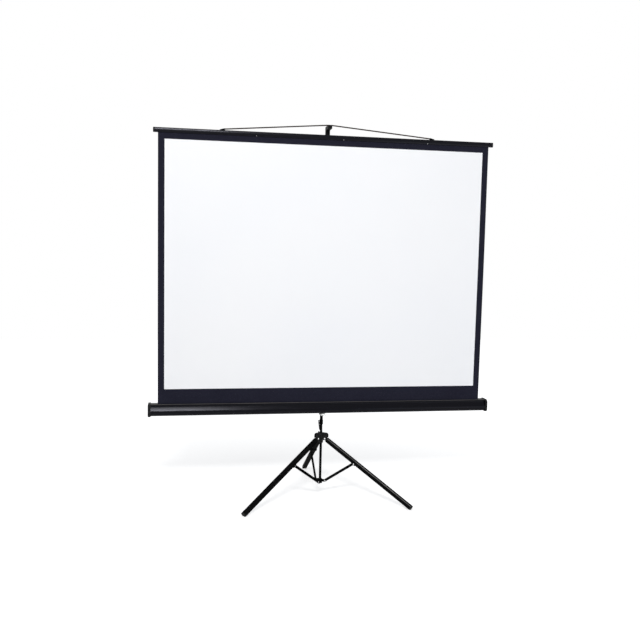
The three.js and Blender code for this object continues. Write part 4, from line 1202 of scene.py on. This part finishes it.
def three_of(master, name, frame_of, smooth=35, keep_finish=False):
    """Puts a copy of a form, each with its own mesh, in the frame of each leg or brace."""
    for side in SIDES:
        copy = bpy.data.objects.new(f"{name}_{side}", master.data.copy())
        bpy.context.scene.collection.objects.link(copy)
        put(copy, frame_of(side))
        finish_piece(copy, f"{name}_{side}", smooth=smooth, keep_finish=keep_finish)
    bpy.data.objects.remove(master)


def hinge_frame(side):
    return across_pivot(leg_frame(side))


def collar_hinge_frame(side):
    return across_pivot(brace_frame(side))


# %% Hub, pivot pins and set screw
hub = cast_copy("leg_hub", 0.55 * MM)
hub.data.materials.clear()
hub.data.materials.append(cast_black())
finish_piece(hub, "leg_hub", smooth=60, keep_finish=True)

PIN_SHANK = 3 * MM
PIN_DOME = 2.2 * MM
low, high = local_box("leg_pivot_pin_left", hinge_frame("left"))
pin = rivet((high.x - low.x) / 2, PIN_DOME, low.z + PIN_DOME, high.z - PIN_DOME, PIN_SHANK)
three_of(pin, "leg_pivot_pin", hinge_frame, smooth=40)

SCREW_HEAD_R = 4.5 * MM
SCREW_HEAD = 3 * MM
SCREW_SHANK_R = 2.5 * MM
SOCKET_R = 2.2 * MM
SOCKET_DEPTH = 1.6 * MM
screw_middle = centre("hub_set_screw")
screw_out = Vector((screw_middle.x - POLE.x, screw_middle.y - POLE.y, 0)).normalized()
screw_place = facing(Vector((POLE.x, POLE.y, screw_middle.z)), screw_out)
low, high = local_box("hub_set_screw", screw_place)
screw = turned([
    (SCREW_SHANK_R, low.z), (SCREW_SHANK_R, high.z - SCREW_HEAD), (SCREW_HEAD_R, high.z - SCREW_HEAD),
    (SCREW_HEAD_R, high.z - RIM), (SCREW_HEAD_R - RIM, high.z), (SOCKET_R, high.z), (SOCKET_R, high.z - SOCKET_DEPTH),
], 36)
put(screw, screw_place)
finish_piece(screw, "hub_set_screw", smooth=30)

# %% Leg tubes
LEG_ROUND = 4 * MM
LEG_SHOULDER = 9 * MM
LEG_WALL = 1.5 * MM
tube_low, tube_high = local_box("leg_tube_left", leg_frame("left"))
leg_section = [
    (tube_low.y, tube_low.z, LEG_ROUND), (tube_high.y, tube_low.z, LEG_ROUND),
    (tube_high.y, tube_high.z, LEG_SHOULDER), (tube_low.y, tube_high.z, LEG_SHOULDER),
]
leg = lofted(leg_section, straight(tube_high.x - tube_low.x), wall=LEG_WALL)
put(leg, Matrix.Translation((tube_low.x, 0, 0)) @ LAY_ALONG_X)
leg.data.materials.append(FINISH[SLOT_OF["leg_tube_left"]])
# One upper shoulder of each leg is painted lighter grey in patches: a painted highlight along the side turned to the
# lamp.
leg.data.materials.append(painted_highlight_grey("rubbed_shoulder", (0.03, 0.03, 0.03), (0.16, 0.155, 0.15), 14))
LIT_SHOULDER_FACING = Vector((0, -1, 1)).normalized()
for face in leg.data.polygons:
    face.material_index = int(face.normal.dot(LIT_SHOULDER_FACING) > cos(radians(16)))
three_of(leg, "leg_tube", leg_frame, keep_finish=True)

# %% Knuckles and feet
knuckle = cast_copy("leg_knuckle_left", 0.6 * MM)
put(knuckle, leg_frame("left").inverted())
three_of(knuckle, "leg_knuckle", leg_frame, smooth=60)

FOOT_GAP = 0.3 * MM
FOOT_STEPS = (
    (0, 0.97), (0.5, 1), (2, 1), (2.3, 0.95), (3.1, 0.95), (3.4, 1), (4.8, 1),
    (5.1, 0.95), (5.9, 0.95), (6.2, 1), (7.2, 1), (8, 0.93),
)
foot = lofted(leg_section, [(height * MM, scale) for height, scale in FOOT_STEPS])
put(foot, Matrix.Translation((tube_high.x + FOOT_GAP, 0, 0)) @ LAY_ALONG_X)
to_leg = leg_frame("left").inverted()
edit(foot)
start_editing()
bpy.ops.mesh.bisect(
    plane_co=to_leg.translation, plane_no=to_leg.to_3x3() @ Vector((0, 0, 1)), use_fill=True, clear_inner=True,
)
close_up()
three_of(foot, "foot_cap", leg_frame)

# %% [markdown]
# ## Clips, braces and collar
# A brace runs from a clip under each leg to a collar on the pole. The clip is a bent strip, drawn as a
# U and pulled along the leg. The brace is a pressing with round ends and a raised rim: an outline is
# thickened, its outer face inset and pushed in. Round rivet heads hold them, and the collar is cast.

# %% Clips under the legs
CLIP_GAP = 0.3 * MM
CLIP_THICK = 1.5 * MM
RIVET_HEAD_R = 4.2 * MM
RIVET_HEAD = 2 * MM
RIVET_SHANK = 2.5 * MM
low, high = local_box("leg_clip_left", leg_frame("left"))
inner = tube_high.y + CLIP_GAP
outer = inner + CLIP_THICK
seat = tube_low.z - CLIP_GAP
bend = [
    (-outer, low.z, CLIP_THICK), (outer, low.z, CLIP_THICK), (outer, high.z, 0), (inner, high.z, 0),
    (inner, seat, 0), (-inner, seat, 0), (-inner, high.z, 0), (-outer, high.z, 0),
]
clip = softened(lofted(bend, straight(high.x - low.x)), 0.3 * MM)
put(clip, Matrix.Translation((low.x, 0, 0)) @ LAY_ALONG_X)
rivet_low, rivet_high = local_box("brace_rivet_left", leg_frame("left"))
rivet_at = (rivet_low + rivet_high) / 2
tail = round_head(RIVET_HEAD_R, RIVET_HEAD)
put(tail, facing(Vector((rivet_at.x, -outer, rivet_at.z)), Vector((0, -1, 0))))
tail.data.materials.append(FINISH["bright_steel"])
clip.data.materials.append(FINISH[SLOT_OF["leg_clip_left"]])
three_of(joined(clip, tail), "leg_clip", leg_frame, keep_finish=True)

# %% Braces and their rivets
BRACE_SHEET = 2 * MM
BRACE_RIM = 1.6 * MM
END_SHARE = 0.998
low, high = local_box("brace_strip_left", brace_frame("left"))
depth = high.y - low.y
half = (high.z - low.z) / 2
end = half * END_SHARE
strip = lofted(
    [(low.x, -half, end), (high.x, -half, end), (high.x, half, end), (low.x, half, end)],
    [(0.0, 1.0), (depth, 1.0)], arc=12,
)
edit(strip)
pick("faces", lambda face: face.normal.z < -0.99)
bpy.ops.mesh.inset(thickness=BRACE_RIM)
bpy.ops.mesh.extrude_region_move(TRANSFORM_OT_translate={"value": (0, 0, depth - BRACE_SHEET)})
close_up()
softened(strip, 0.4 * MM)
put(strip, Matrix.Translation((0, high.y, 0)) @ Matrix.Rotation(pi / 2, 4, "X"))
three_of(strip, "brace_strip", brace_frame)

rivet_low, rivet_high = local_box("brace_rivet_left", brace_frame("left"))
rivet_at = (rivet_low + rivet_high) / 2
head_y = rivet_high.y - RIVET_HEAD
head = turned([(RIVET_SHANK, rivet_low.y), (RIVET_SHANK, head_y), *dome(RIVET_HEAD_R, RIVET_HEAD, head_y)], 32)
put(head, across_pivot(Matrix.Translation((rivet_at.x, 0, rivet_at.z))))
three_of(head, "brace_rivet", brace_frame, smooth=40)

# %% Collar and its rivets
finish_piece(cast_copy("lower_collar", 0.5 * MM), "lower_collar", smooth=60)
low, high = local_box("collar_rivet_left", collar_hinge_frame("left"))
collar_rivet = rivet(RIVET_HEAD_R, RIVET_HEAD, low.z + RIVET_HEAD, high.z - RIVET_HEAD, RIVET_SHANK)
three_of(collar_rivet, "collar_rivet", collar_hinge_frame, smooth=40)
